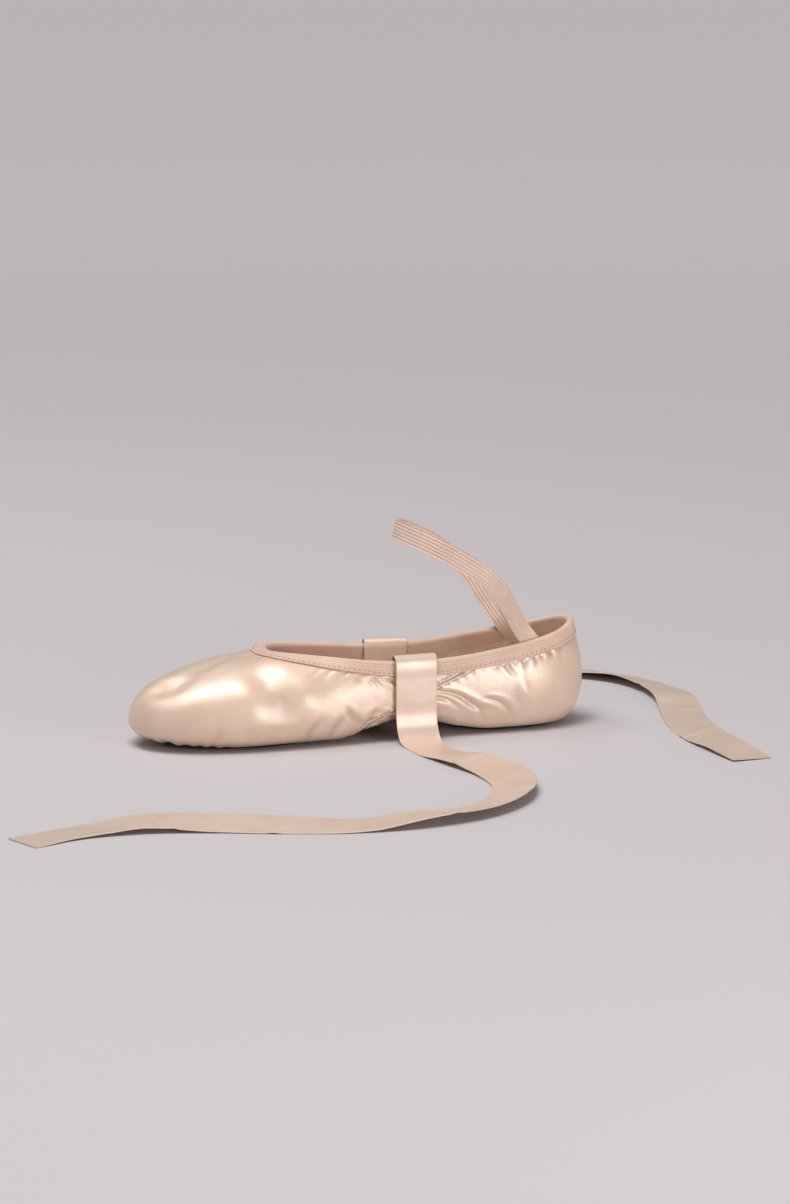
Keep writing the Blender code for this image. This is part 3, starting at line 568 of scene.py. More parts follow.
def crease(p, q, a, b, half, depth, far):
    """A crease over points (p, q), in metres, from end a to end b. Across it the height is the depth times
    (1 - s^2) e^(-s^2 / 1.6), with s in half widths that widen along it, and the line bows by a tenth of its
    length. It fades in before a, and out after b, where `far` of its depth is left."""
    run = np.subtract(b, a) * MM
    size = math.hypot(*run)
    x, y = p - a[0] * MM, q - a[1] * MM
    t = (x * run[0] + y * run[1]) / size**2
    bow = 0.1 * size * math.copysign(1, math.sin(7 * a[0] + 3 * b[1]))
    between = np.clip(t, 0, 1)
    s = ((y * run[0] - x * run[1]) / size - 4 * bow * t * (1 - t)) / (half * MM * (0.8 + 0.4 * between))
    ends = eased(t, -0.25, 0.3) * (1 - eased(t, 0.6, 1.25))
    return depth * MM * (1 - s**2) * np.exp(-(s**2) / 1.6) * (1 + (far - 1) * between) * ends


# %% [markdown]
# ## Where the seams run
# The front and heel parts meet in a slanting seam on each side, from the binding down to the arch. The seam
# is a line seen from the side: an x for each height. The two edges are stitched down on both sides of it, so
# the satin dips along the line and swells between the stitch rows, and it puckers between stitches.

# %% Seam lines and the satin's relief
INNER_HEIGHTS = (7.0, 10.6, 13.2, 17.5, 20.5, 26.6, 31.0, 39.3, 43.0)
INNER_PLACES = (-3.0, 1.5, 5.5, 16.5, 23.0, 32.5, 43.5, 60.5, 68.0)
OUTER_HEIGHTS = (4.0, 6.0, 12.0, 18.0, 25.0, 31.0, 38.0)
OUTER_PLACES = (-8.0, -5.0, 2.0, 9.0, 17.0, 24.0, 31.0)
SEAM_LINES = {
    -1: np.array((INNER_HEIGHTS, INNER_PLACES)) * MM,
    1: np.array((OUTER_HEIGHTS, OUTER_PLACES)) * MM,
}
SEAM_STEEP = {-1: 0.42, 1: 0.66}  # sine of each seam's slope: turns a step in x into one square to the seam
SEAM_ROWS = 1.8 * MM  # of stitches from the line
SWELLING, GATHER, PLEAT = 0.22 * MM, 0.26 * MM, 0.80 * MM  # heights of the relief all over
GATHERS_ROUND, PLEATS_ROUND = 61, 58


def seam_distance(points, side):
    """Signed distance from the seam, minus towards the toe: the step in x from its line, times the slope."""
    at = monotone(*SEAM_LINES[side], points[..., 2])
    return (points[..., 0] - at) * SEAM_STEEP[side]


def seam_relief(points, side):
    """A dip along the line, swellings under the stitch rows, and puckers that die out 5 mm away."""
    s = seam_distance(points, side)
    run = np.hypot(points[..., 0], points[..., 2])
    dip = -0.55 * bell(s, 0.55 * MM)
    swell = 0.28 * bell(np.abs(s) - SEAM_ROWS * 0.62, 0.8 * MM)
    held = -0.22 * bell(np.abs(s) - SEAM_ROWS, 0.45 * MM)
    wave = np.sin(2 * np.pi * run / (4.6 * MM) + 1.3 * np.sin(run / (7 * MM)))
    pucker = 0.34 * wave * bell(s, 3.6 * MM) * (1 - bell(s, 1.2 * MM))
    return (dip + swell + held + pucker) * MM


def relief(turn, down, points):
    """How far the satin stands out of its smooth form: long soft swellings, the creases, the seams, the
    gathers at the binding and the pleats at the toe. It dies out over the suede pads."""
    x, y, z = points[..., 0], points[..., 1], points[..., 2]
    inner = np.where(turn < 0.5, 1.0, 0.0)
    sway = np.sin(x / (13 * MM) + 2.1 * np.sin(y / (21 * MM)))
    total = SWELLING * sway * np.sin(z / (9 * MM) + x / (31 * MM))
    for side, x0, z0, x1, z1, half, depth, far in SIDE_FOLDS:
        mask = inner if side < 0 else 1 - inner
        total = total + mask * crease(x, z, (x0, z0), (x1, z1), half, depth, far)
    above = np.clip((1.05 - down) / 0.2, 0, 1)
    for x0, y0, x1, y1, half, depth, far in TOP_FOLDS:
        total = total + above * crease(x, y, (x0, y0), (x1, y1), half, depth, far)
    total = total + inner * seam_relief(points, -1) + (1 - inner) * seam_relief(points, 1)
    way = turn * 2 * np.pi
    gather = np.sin(way * GATHERS_ROUND + 2.2 * np.sin(way * 7) + 2.5 * down)
    gather = gather * (0.55 + 0.45 * np.sin(way * 5 + 1))
    behind = np.clip((x + 0.045) / 0.03, 0.15, 1)
    total = total + GATHER * gather * bell(down - 0.2, 0.22) * behind
    toe = np.exp(-((np.minimum(turn, 1 - turn) / 0.105) ** 4))
    pleat = np.sin(way * PLEATS_ROUND + 1.9 * np.sin(way * 11)) * (0.65 + 0.35 * np.sin(way * 19 + 2))
    total = total + PLEAT * (pleat - 0.35) * bell(down - 1.88, 0.34) * toe
    return total * eased(down, 2.12, 1.88)


print(len(SIDE_FOLDS) + len(TOP_FOLDS), "creases placed by hand")

# %% [markdown]
# ## Finishes
# Satin, elastic, suede and cotton differ mostly in how their threads catch the light. Two node groups serve
# all of them: one makes threads from the cloth coordinates, and one varies a colour softly over the piece.
# A third makes the crinkles that handling leaves in satin. The shader itself stays in each material, and what
# is the same all over is set on its own socket.

# %% Building nodes


def tone(red, green, blue):
    """A colour given as a screen shows it, made linear: ((c + 0.055) / 1.055) to the power 2.4."""
    return tuple(((c / 255 + 0.055) / 1.055) ** 2.4 for c in (red, green, blue)) + (1.0,)


def add(tree, kind, sockets=(), **settings):
    """One node with its settings, and its sockets linked or set by name or number."""
    made = tree.nodes.new("ShaderNode" + kind)
    for key, value in settings.items():
        setattr(made, key, value)
    for key, value in dict(sockets).items():
        if isinstance(value, bpy.types.NodeSocket):
            tree.links.new(value, made.inputs[key])
        else:
            made.inputs[key].default_value = value
    return made


def math_node(tree, kind, *values, clamp=False):
    """The result of one operation on sockets or numbers."""
    return add(tree, "Math", enumerate(values), operation=kind, use_clamp=clamp).outputs[0]


def noise(tree, at, scale, detail, out="Fac", **more):
    """Noise at a place, with `scale` as its lumps per metre."""
    return add(tree, "TexNoise", {"Vector": at, "Scale": scale, "Detail": detail, **more}).outputs[out]


def blended(tree, share, first, second, **settings):
    """Two colours mixed, with `share` of the second."""
    return add(tree, "Mix", {0: share, 6: first, 7: second}, data_type="RGBA", **settings).outputs[2]


def group(name, inputs, outputs):
    """An empty node group with named sockets, what it is given and what it gives back."""
    tree = bpy.data.node_groups.new(name, "ShaderNodeTree")
    for label, kind, start in inputs:
        socket = tree.interface.new_socket(label, in_out="INPUT", socket_type="NodeSocket" + kind)
        if start is not None:
            socket.default_value = start
    for label, kind in outputs:
        tree.interface.new_socket(label, in_out="OUTPUT", socket_type="NodeSocket" + kind)
    return tree, tree.nodes.new("NodeGroupInput").outputs, tree.nodes.new("NodeGroupOutput").inputs


# %% Group: threads
THREADS, given, result = group(
    "threads",
    [
        ("Cloth", "Vector", None), ("Along", "Float", 3000.0), ("Across", "Float", 800.0),
        ("Uneven", "Float", 0.4),
    ],
    [("Height", "Float")],
)
shift = math_node(THREADS, "MULTIPLY", noise(THREADS, given["Cloth"], 500.0, 2.0), given["Uneven"])
split = add(THREADS, "SeparateXYZ", {"Vector": given["Cloth"]}).outputs
waves = []
for axis, threads in (("X", "Along"), ("Y", "Across")):
    crossed = math_node(THREADS, "MULTIPLY_ADD", split[axis], given[threads], shift)
    waves.append(math_node(THREADS, "SINE", math_node(THREADS, "MULTIPLY", crossed, 2 * math.pi)))
height = math_node(THREADS, "MULTIPLY_ADD", math_node(THREADS, "MULTIPLY", *waves), 0.5, 0.5)
THREADS.links.new(height, result["Height"])
print("group", THREADS.name, len(THREADS.nodes), "nodes")

# %% Group: soft variation
VARIED, given, result = group(
    "varied",
    [
        ("Place", "Vector", None), ("Patches", "Float", 60.0), ("Light", "Color", None),
        ("Dark", "Color", None),
    ],
    [("Color", "Color"), ("Mask", "Float")],
)
patches = noise(VARIED, given["Place"], given["Patches"], 4.0, Roughness=0.55)
mask = add(VARIED, "MapRange", {"Value": patches, "From Min": 0.32, "From Max": 0.68}).outputs["Result"]
VARIED.links.new(blended(VARIED, mask, given["Dark"], given["Light"]), result["Color"])
VARIED.links.new(mask, result["Mask"])
print("group", VARIED.name, len(VARIED.nodes), "nodes")

# %% Group: crinkle
CRINKLE, given, result = group(
    "crinkle",
    [("Place", "Vector", None), ("Folds", "Float", 150.0), ("Bend", "Float", 0.6)],
    [("Height", "Float")],
)
bent = noise(CRINKLE, given["Place"], 60.0, 2.0, "Color")
pushed = add(CRINKLE, "VectorMath", {0: bent, 3: 0.012}, operation="SCALE").outputs["Vector"]
moved = add(CRINKLE, "VectorMath", {0: given["Place"], 1: pushed}, operation="ADD").outputs["Vector"]
folded = noise(CRINKLE, moved, given["Folds"], 3.0, Distortion=given["Bend"])
creased = math_node(CRINKLE, "ABSOLUTE", math_node(CRINKLE, "SUBTRACT", folded, 0.5))
height = math_node(CRINKLE, "POWER", math_node(CRINKLE, "MULTIPLY", creased, 4.0, clamp=True), 0.6)
CRINKLE.links.new(height, result["Height"])
print("group", CRINKLE.name, len(CRINKLE.nodes), "nodes")

# %% Cloth finishes
GLOSS = {"Coat Roughness": 0.40, "Coat IOR": 1.75, "Sheen Roughness": 0.4}


def cloth(
    name, light, dark, rough, threads, patches=60.0, bump=0.05, nap=0.0, grain=2600.0, sheen=0.0,
    painted_crease_shade=None, part=None, metal=0.0, crinkle=0.0, coat=0.0,
):
    """A cloth: its colour varies between `light` and `dark`, its threads and nap make the bump, and the
    roughness goes from rough[0] to rough[1] with the same patches. A crease colour, if given, is painted
    shade that darkens the cloth deep in creases and along seams, and `part` is how much rougher the front
    part of the upper is; both are read from the piece's own attributes.
    `crinkle` is the height in mm of the fine folds that handling leaves, and `coat` the share of the broad
    white gloss that smooth threads give."""
    made = bpy.data.materials.new(name)
    made.use_nodes = True
    tree = made.node_tree
    shader = tree.nodes["Principled BSDF"].inputs
    at = add(tree, "TexCoord").outputs["Object"]
    weave_at = add(tree, "UVMap", uv_map="cloth").outputs["UV"]
    shades = {"Place": at, "Patches": patches, "Light": light, "Dark": dark}
    varied = add(tree, "Group", shades, node_tree=VARIED).outputs
    counts = {"Cloth": weave_at, "Along": threads[0], "Across": threads[1]}
    weave = add(tree, "Group", counts, node_tree=THREADS).outputs["Height"]
    shade = math_node(tree, "MULTIPLY_ADD", weave, 0.08, 0.94)
    colour = blended(tree, 1.0, varied["Color"], shade, blend_type="MULTIPLY")
    limits = {"Value": varied["Mask"], "To Min": rough[1], "To Max": rough[0]}
    roughness = add(tree, "MapRange", limits).outputs["Result"]
    fuzz = noise(tree, at, grain, 3.0, Roughness=0.6)
    raised = math_node(tree, "MULTIPLY_ADD", fuzz, nap, math_node(tree, "MULTIPLY", weave, 1 - nap))
    # Painted shade: darkens the colour towards the crease colour where the piece's attribute marks creases
    # and seams.
    if painted_crease_shade:
        deep = add(tree, "Attribute", attribute_name="painted_crease_shade").outputs["Fac"]
        colour = blended(tree, deep, colour, painted_crease_shade)
    if part:
        front = add(tree, "Attribute", attribute_name="front_part").outputs["Fac"]
        roughness = math_node(tree, "MULTIPLY_ADD", front, part, roughness)
        coarse = math_node(tree, "MULTIPLY", front, 3.2)
        coarse = math_node(tree, "MULTIPLY", noise(tree, at, 900.0, 4.0, Roughness=0.7), coarse)
        raised = math_node(tree, "ADD", raised, coarse)
    lift = add(tree, "Bump", {"Height": raised, "Distance": bump * MM, "Strength": 0.7})
    if crinkle:
        folds = add(tree, "Group", {"Place": at}, node_tree=CRINKLE).outputs["Height"]
        soft = add(tree, "Bump", {"Height": folds, "Distance": crinkle * MM})
        tree.links.new(soft.outputs["Normal"], lift.inputs["Normal"])
    for key, value in (("Base Color", colour), ("Roughness", roughness), ("Normal", lift.outputs["Normal"])):
        tree.links.new(value, shader[key])
    same = {"Metallic": metal, "Coat Weight": coat, "Sheen Weight": sheen, **GLOSS}
    for key, value in same.items():
        shader[key].default_value = value
    return made


# The satin's crease colour, tone(160, 110, 84), is painted shade laid into creases and along the seams.
SATIN = cloth(
    "satin", tone(238, 210, 187), tone(229, 195, 168), (0.36, 0.41), (2600.0, 420.0), bump=0.035, nap=0.4,
    sheen=0.05, painted_crease_shade=tone(160, 110, 84), part=0.05, metal=0.16, crinkle=0.05, coat=1.0,
)
LINING = cloth(
    "cotton_lining", tone(238, 218, 206), tone(228, 206, 192), (0.8, 0.9), (1500.0, 1500.0), bump=0.12,
    nap=0.4, sheen=0.1,
)
SUEDE = cloth(
    "suede", tone(48, 45, 46), tone(33, 31, 32), (0.85, 0.97), (700.0, 900.0), patches=120.0, bump=0.25,
    nap=1.0, grain=1800.0, sheen=0.35,
)
BINDING = cloth(
    "binding_elastic", tone(224, 193, 173), tone(214, 181, 160), (0.5, 0.62), (1900.0, 900.0), bump=0.08,
    nap=0.5, sheen=0.1,
)
STRAP = cloth(
    "strap_elastic", tone(230, 203, 186), tone(219, 189, 170), (0.5, 0.62), (1700.0, 1000.0), bump=0.1,
    nap=0.4, sheen=0.1,
)
RIBBON = cloth(
    "ribbon_satin", tone(231, 204, 184), tone(221, 191, 169), (0.35, 0.42), (2400.0, 300.0), bump=0.04,
    nap=0.3, sheen=0.05, metal=0.14, crinkle=0.03, coat=0.8,
)
THREAD = cloth("thread", tone(196, 146, 120), tone(176, 126, 101), (0.45, 0.6), (5000.0, 2500.0), nap=0.3)
DARK_THREAD = cloth("dark_thread", tone(60, 56, 57), tone(44, 41, 42), (0.5, 0.65), (5000.0, 2500.0))
print(len(bpy.data.materials), "materials")

# %% [markdown]
# ## The upper
# The satin and its cotton lining are one wall, 1.2 mm thick, so one grid runs from the middle of the sole up
# the outside, over the collar's edge and down the inside. Inner and outer columns share their points along
# the middle of the sole, which closes it. The crease tables move the points out or in along the normal.

# %% Upper: satin outside, cotton inside
ROUND = 520
OUTSIDE = np.concatenate([np.linspace(3, 2, 13)[:-1], np.linspace(2, 1, 39)[:-1], np.linspace(1, 0, 86)])
INSIDE = np.concatenate([np.linspace(0, 1, 25), np.linspace(1, 2, 11)[1:], np.linspace(2, 3, 5)[1:]])

BOUND_TURNS = np.linspace(0, 1, 361)
BOUND_DOWN = down_at(BOUND_TURNS, np.array((BINDING_DEPTH,)))[:, 0]


def binding_down(turn):
    """The `down` where the binding's lower edge lies."""
    return np.interp(np.mod(turn, 1), BOUND_TURNS, BOUND_DOWN)


def dressed(turn, down, out=0.0, share=1.0):
    """Points of the satin moved out by `out` and by a share of its relief, which is nothing under the
    binding. Also gives the relief itself and the normals."""
    smooth = skin(turn, down)
    normal = skin_normal(turn, down)
    height = relief(turn, down, smooth) * eased(down / binding_down(turn), 0.85, 1.25)
    return smooth + normal * (out + share * height)[..., None], height, normal


def closed_numbers(rows, columns):
    """Point numbers of a grid whose first and last columns run along the middle of the sole: there row k of
    the outer half takes the point of row -k, its mirror on the inner half."""
    number = np.arange(rows * columns).reshape(rows, columns)
    row = np.arange(rows)
    shared = np.where(row > rows // 2, -row % rows, row)
    number[:, 0], number[:, -1] = number[shared, 0], number[shared, -1]
    return number


turns = even_turns(ROUND)
outer_turn, outer_down = np.meshgrid(turns, OUTSIDE, indexing="ij")
inner_turn, inner_down = np.meshgrid(turns, INSIDE, indexing="ij")
outer_face, heights, _ = dressed(outer_turn, outer_down)
inner_face, _, _ = dressed(inner_turn, inner_down, -WALL, 0.8)
wall = np.concatenate([outer_face, inner_face], axis=1)
number = closed_numbers(*wall.shape[:2])
slots = (np.arange(wall.shape[1]) >= len(OUTSIDE)).astype(int)
upper = grid_piece("satin_upper", wall, [SATIN, LINING], loop=True, index=number, slots=slots)
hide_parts("upper")


# Painted shade: how much the satin is darkened along the seam line and in fine creases, kept as a point
# attribute.
from_seam = np.where(outer_turn < 0.5, seam_distance(outer_face, -1), seam_distance(outer_face, 1))
seam_shade = 0.8 * bell(from_seam, 0.4 * MM) * (outer_down < 2)
around = sum(np.roll(heights, step, axis=0) for step in range(-6, 7)) / 13
fold_shade = np.clip((around - heights) / (1.5 * MM) - 0.04, 0, 0.22)
front_part = np.clip(0.5 - from_seam / (0.4 * MM), 0, 1)
for name, values in (("painted_crease_shade", np.maximum(seam_shade, fold_shade)), ("front_part", front_part)):
    values = np.concatenate([values, np.zeros(inner_face.shape[:2])], axis=1)
    layer = upper.data.attributes.new(name, "FLOAT", "POINT")
    layer.data.foreach_set("value", values.ravel()[np.unique(number)].astype(np.float32))
print("relief from", round(float(heights.min() / MM), 2), "to", round(float(heights.max() / MM), 2), "mm")

# %% [markdown]
# ## Stitches
# A stitch is a short thread that rises a little in its middle and dives into the cloth at its ends. There
# are hundreds, so each is a small six-sided spindle, and a whole row is worked out as one array.

# %% Rows of stitches


# places along a stitch, as shares of half its length, and its thickness there
SPINDLE = np.array(((-1.0, -0.72, 0.0, 0.72, 1.0), (0.25, 0.8, 1.0, 0.8, 0.25)))
SIDES = 6


def stitch_rows(name, centres, ways, outs, finish, length=2.0 * MM, thick=0.46 * MM):
    """Spindles along `ways` at `centres`, each lifted out by a quarter of its thickness in its middle."""
    shares, fat = SPINDLE[0], SPINDLE[1] * thick / 2
    angle = np.arange(SIDES) / SIDES * 2 * np.pi
    ways = unit(ways)
    sides = np.cross(ways, outs)
    spokes = sides[:, None, None] * np.cos(angle)[:, None] + outs[:, None, None] * np.sin(angle)[:, None]
    lift = (1 - shares**2) * thick * 0.25
    spine = centres[:, None] + ways[:, None] * (shares * length / 2)[:, None] + outs[:, None] * lift[:, None]
    points = spine[:, :, None] + spokes * fat[:, None, None]
    number = np.arange(points[..., 0].size).reshape(points.shape[:3])
    turned = np.roll(number, -1, axis=2)
    quads = np.stack([number[:, :-1], turned[:, :-1], turned[:, 1:], number[:, 1:]], axis=-1)
    faces = quads.reshape(-1, 4).tolist() + number[:, 0, ::-1].tolist() + number[:, -1].tolist()
    corners, slots = np.zeros((sum(map(len, faces)), 2)), np.zeros(len(faces), int)
    return mesh_piece(name, points.reshape(-1, 3), faces, corners, [finish], slots)


def along_row(points, normals, spacing):
    """Evenly spaced places along a line of points, with its direction and normals there."""
    run = lengths(points, 0)
    at = np.arange(spacing / 2, run[-1], spacing)
    read = [np.interp(at, run, values[:, k]) for values in (points, normals) for k in range(3)]
    centres, outs = np.stack(read[:3], axis=1), np.stack(read[3:], axis=1)
    return centres, np.gradient(centres, axis=0), unit(outs)


# %% Stitches on both sides of each seam
SEAM_SPAN = np.linspace(0.2, 0.46, 400)  # of the way round the inner side; the outer side's is its mirror
SEAM_REACH = ((-1, 0.28, 1.75), (1, 0.3, 1.8))  # side, first and last `down`


def seam_row(side, aside, low, high):
    """A line on the satin that keeps `aside` of the seam: for each `down`, the place round the shoe where the
    distance from the seam crosses that value, found between two columns of a fine grid."""
    downs = np.linspace(low, high, 90)
    span = SEAM_SPAN if side < 0 else 1 - SEAM_SPAN
    turn, down = np.meshgrid(span, downs, indexing="ij")
    away = seam_distance(skin(turn, down), side) - aside
    at = np.argmax(away > 0, axis=0)
    row = np.arange(len(downs))
    before, after = away[at - 1, row], away[at, row]
    share = before / (before - after)
    found = span[at - 1] * (1 - share) + span[at] * share
    points, _, normal = dressed(found, downs, 0.04 * MM)
    return points, normal


found = [
    along_row(*seam_row(side, aside, low, high), 2.5 * MM)
    for side, low, high in SEAM_REACH
    for aside in (-SEAM_ROWS, SEAM_ROWS)
]
seams = stitch_rows("seam_stitches", *(np.concatenate(part) for part in zip(*found)), THREAD)

# %% [markdown]
# ## The collar's binding
# A ribbed elastic tape is folded over the satin's edge all round the collar and held by one row of stitches
# near its lower edge. Its section is a profile with fine ribs, carried round the collar; the ribs are cut
# inward, so that the tape stays within its solid.

# %% Binding
RIB = 1.65 * MM
NEAR, FAR = GAP, GAP + BINDING_THICK
STITCH_DOWN = 4.9 * MM


def binding_ring(turn, legs, folds):
    """Points of the binding's section round the collar. `legs` are (distance down, distance out) and `folds`
    are (radius, degrees) round the satin's edge, from the outer leg over to the inner one."""
    zero = np.zeros_like(turn)
    rim, normal = skin(turn, zero), skin_normal(turn, zero)
    downward = unit(skin(turn, zero + 0.01) - rim)
    downs = down_at(turn, np.clip(legs[:, 0], 0, None))
    wide = np.repeat(turn[:, None], len(legs), axis=1)
    leg_points = skin(wide, downs) + skin_normal(wide, downs) * legs[:, 1][None, :, None]
    angle = np.radians(folds[:, 1])
    out, up = -WALL / 2 + folds[:, 0] * np.cos(angle), folds[:, 0] * np.sin(angle)
    fold_points = rim[:, None] + normal[:, None] * out[:, None] - downward[:, None] * up[:, None]
    return leg_points, fold_points


def ribbed(distance):
    """How far a rib's groove is cut in at a distance from the collar's edge, deeper along the stitches."""
    grooves = 0.5 - 0.5 * np.cos(2 * np.pi * distance / RIB)
    return -(0.075 * grooves + 0.15 * bell(distance - STITCH_DOWN, 0.5 * MM)) * MM


def rows_of(*pairs):
    """Rows of (first, second) from pairs of columns, one pair after the other; a number is a column too."""
    return np.concatenate([np.stack(np.broadcast_arrays(*pair), axis=1) for pair in pairs])


outer_leg = np.linspace(BINDING_DEPTH, 0, 44)
edge_round = 0.45 * MM * np.clip(1 - (BINDING_DEPTH - outer_leg) / (0.7 * MM), 0, 1) ** 2
inner_leg = np.linspace(0, BINDING_DEPTH, 12)
back_leg = np.linspace(BINDING_DEPTH, 0, 7)
legs = rows_of(
    (outer_leg, FAR + ribbed(outer_leg) - edge_round),
    (inner_leg, -WALL - FAR),
    (back_leg, -WALL - NEAR),
    (back_leg[::-1], NEAR),
)
over = np.linspace(12, 168, 13)
under = np.linspace(150, 30, 5)
folds = rows_of(
    (WALL / 2 + FAR - 0.05 * MM * (1 - np.cos(np.radians(over) * 8)), over),
    (WALL / 2 + NEAR, under),
)
leg_points, fold_points = binding_ring(even_turns(420), legs, folds)
outer_points, inner_points, near_points = np.split(leg_points, (len(outer_leg), -len(back_leg)), axis=1)
over_points, under_points = np.split(fold_points, (len(over),), axis=1)
section = np.concatenate([outer_points, over_points, inner_points, under_points, near_points], axis=1)
binding = grid_piece("ribbed_binding", section, [BINDING], loop=True, tube=True)
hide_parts("collar_binding")

# %% The row of stitches on the binding
row_turns_fine = np.append(even_turns(600), 1.0)
row_down = down_at(row_turns_fine, np.array((STITCH_DOWN,)))[:, 0]
row_normal = skin_normal(row_turns_fine, row_down)
row_points = skin(row_turns_fine, row_down) + row_normal * (FAR - 0.2 * MM)
places = along_row(row_points, row_normal, 2.6 * MM)
stitched = stitch_rows("binding_stitches", *places, THREAD, 1.7 * MM, 0.40 * MM)

# %% [markdown]
# ## Pads and insole
# The two suede pads lie flat on the floor, cut to ovals at the arch, and are sewn on through a groove near
# their edge. The insole is a thin sheet that lies inside on the turned-in satin. Each is a stack of outlines
# that shrink towards a middle point or line, top face first, round the edge and back along the bottom.

# %% Suede pads
PADS = {"sole_front": ("toe", 0.545), "sole_heel": ("heel", 0.310)}
PAD_OVAL = 0.55
PAD_GROOVE = 2.6
PAD_RINGS = (30.0, 12.0, 6.0, 4.0, 3.0, PAD_GROOVE, 2.2, 1.6, 1.0)  # mm inside the edge
PAD_ROUNDING = np.linspace(0.2, math.pi / 2, 4)


def pad_outline(end, arch_end, margin, count=220):
    """The underside's edge moved in by `margin`, which narrows to an oval over the pad's last stretch."""
    loop = feather(FINE_TURNS, margin)
    start = loop[:, 0].min() if end == "toe" else loop[:, 0].max()
    start -= math.copysign(1e-5, start)
    arch = LENGTH * (0.5 - arch_end) + math.copysign(margin, start)
    angle = (np.arange(count) + 0.5) / count * 2 * np.pi
    share = (1 - np.cos(angle)) / 2
    x = start + (arch - start) * share
    oval = np.sqrt(1 - (np.clip(share - PAD_OVAL, 0, 1) / (1 - PAD_OVAL)) ** 2)
    low, high = edge_across(x, margin)
    return np.stack([x, (low + high) / 2 + (high - low) / 2 * oval * np.sign(np.sin(angle))], axis=-1)


def pad_piece(name, node, end, arch_end):
    """Rings of the outline shrunk to shares of its size; the edge is a half ellipse, and the groove for the
    stitches runs inside it underneath."""
    loop = pad_outline(end, arch_end, PAD_INSET)
    middle = loop.mean(axis=0)
    reach = np.linalg.norm(loop - middle, axis=1, keepdims=True)
    inward = np.concatenate([PAD_RINGS, 0.45 * (1 - np.sin(PAD_ROUNDING))])
    share = np.clip(1 - inward[:, None, None] * MM / reach[None], 0.06, 1)
    flat = middle + (loop - middle)[None] * share
    half = PAD_THICK / 2 * np.concatenate([np.ones(len(PAD_RINGS)), np.cos(PAD_ROUNDING)])
    groove = 0.3 * MM * bell(inward - PAD_GROOVE, 0.45)
    centre = floor_line(flat[..., 0]) - GAP - PAD_THICK / 2
    top = joined(flat, centre + half[:, None])
    bottom = joined(flat, centre - half[:, None] + groove[:, None])
    rings = np.concatenate([top, bottom[::-1][1:]]).transpose(1, 0, 2)
    made = grid_piece(name, rings, [SUEDE], loop=True, caps="columns")
    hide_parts(node)
    sewn_at = PAD_RINGS.index(PAD_GROOVE)
    row = joined(flat[sewn_at], centre[sewn_at] - PAD_THICK / 2 + 0.22 * MM)
    row = np.concatenate([row, row[:1]])
    down = np.repeat(np.array([[0.0, 0.0, -1.0]]), len(row), axis=0)
    sewn = stitch_rows(name + "_stitches", *along_row(row, down, 3.0 * MM), DARK_THREAD, 2.1 * MM, 0.34 * MM)


for node, (end, arch_end) in PADS.items():
    pad_piece("suede_" + node.split("_")[1], node, end, arch_end)

# %% Insole
INSOLE_LIFT = WALL + 0.45 * MM
INSOLE_THICK = 1.2 * MM
insole_turns = even_turns(240)
loop = feather(insole_turns, 2.5 * MM)
spine = keel(insole_turns)
share = np.array((1.0, 0.75, 0.5, 0.25, 0.12, 0.06, 0.02, 0.0, 0.0, 0.0, 0.02, 0.06, 0.3, 1.0))
rise = np.array((1.0, 1.0, 1.0, 1.0, 1.0, 1.0, 0.93, 0.7, 0.5, 0.3, 0.07, 0.0, 0.0, 0.0))
flat = loop[:, None] + (spine - loop)[:, None] * share[:, None]
height = underside(flat[..., 0], flat[..., 1]) + INSOLE_LIFT + INSOLE_THICK * rise
number = closed_numbers(*height.shape)
insole = grid_piece("cotton_insole", joined(flat, height), [LINING], loop=True, index=number)
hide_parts("insole")

# %% [markdown]
# ## The elastic strap
# A flat elastic with six grooves runs from inside the collar on one side, over the front of the ankle, to the
# other side. It keeps the arch that it has in the photograph. Its middle line and the way it faces come from
# the same rows as its solid; a section with ribs on both faces is carried along it.

# %% Strap
STRAP_WIDTH = 10 * MM
STRAP_THICK = 1.2 * MM
STRAP_HEIGHT = 104 * MM
ANKLE_WIDTH = 62 * MM
STRAP_TUCK = 13 * MM
STRAP_GROOVES = 6
STRAP_ARCH = (
    (0.181, -0.395, 0.596), (0.227, -0.465, 0.755), (0.305, -0.455, 0.885), (0.362, -0.340, 0.955),
    (0.398, -0.180, 0.990), (0.411, 0.000, 1.000),
)


def strap_rows(sign):
    """Half of the strap: centre and facing direction, from its sewn end inside the collar to the front."""
    deep = WALL + GAP + BINDING_THICK + 0.8 * MM + STRAP_THICK / 2
    turns = np.linspace(0.25, 0.5, 500)
    turns = 1 - turns if sign > 0 else turns
    rims = LENGTH * (0.5 - place("rim_along", turns))
    rows = []
    for depth in (1.0, 0.5, 0.0):
        want = LENGTH * (0.5 - 0.129) + 0.8 * depth * STRAP_TUCK
        turn = np.array([turns[np.abs(rims - want).argmin()]])
        down = down_at(turn, np.array((depth * STRAP_TUCK,)))[:, 0]
        facing = skin_normal(turn, down)[0]
        centre = skin(turn, down)[0] - facing * deep
        rows.append((*centre, *facing))
    clear = BINDING_THICK + WALL + STRAP_WIDTH / 2
    rows.append((centre[0] - 0.8 * clear, centre[1], centre[2] + clear, *rows[-1][3:]))
    for along, across, height in STRAP_ARCH:
        centre = np.array((LENGTH * (0.5 - along), -sign * across * ANKLE_WIDTH, height * STRAP_HEIGHT))
        out = np.array((centre[0] - LENGTH * 0.3, centre[1] * 1.6, 0.012))
        rows.append((*centre, *unit(out)))
    return rows


def swept(middle, widthways, normals, profile):
    """A profile of (across, out) points carried along a band's middle line."""
    return middle[:, None] + widthways[:, None] * profile[:, :1] + normals[:, None] * profile[:, 1:]


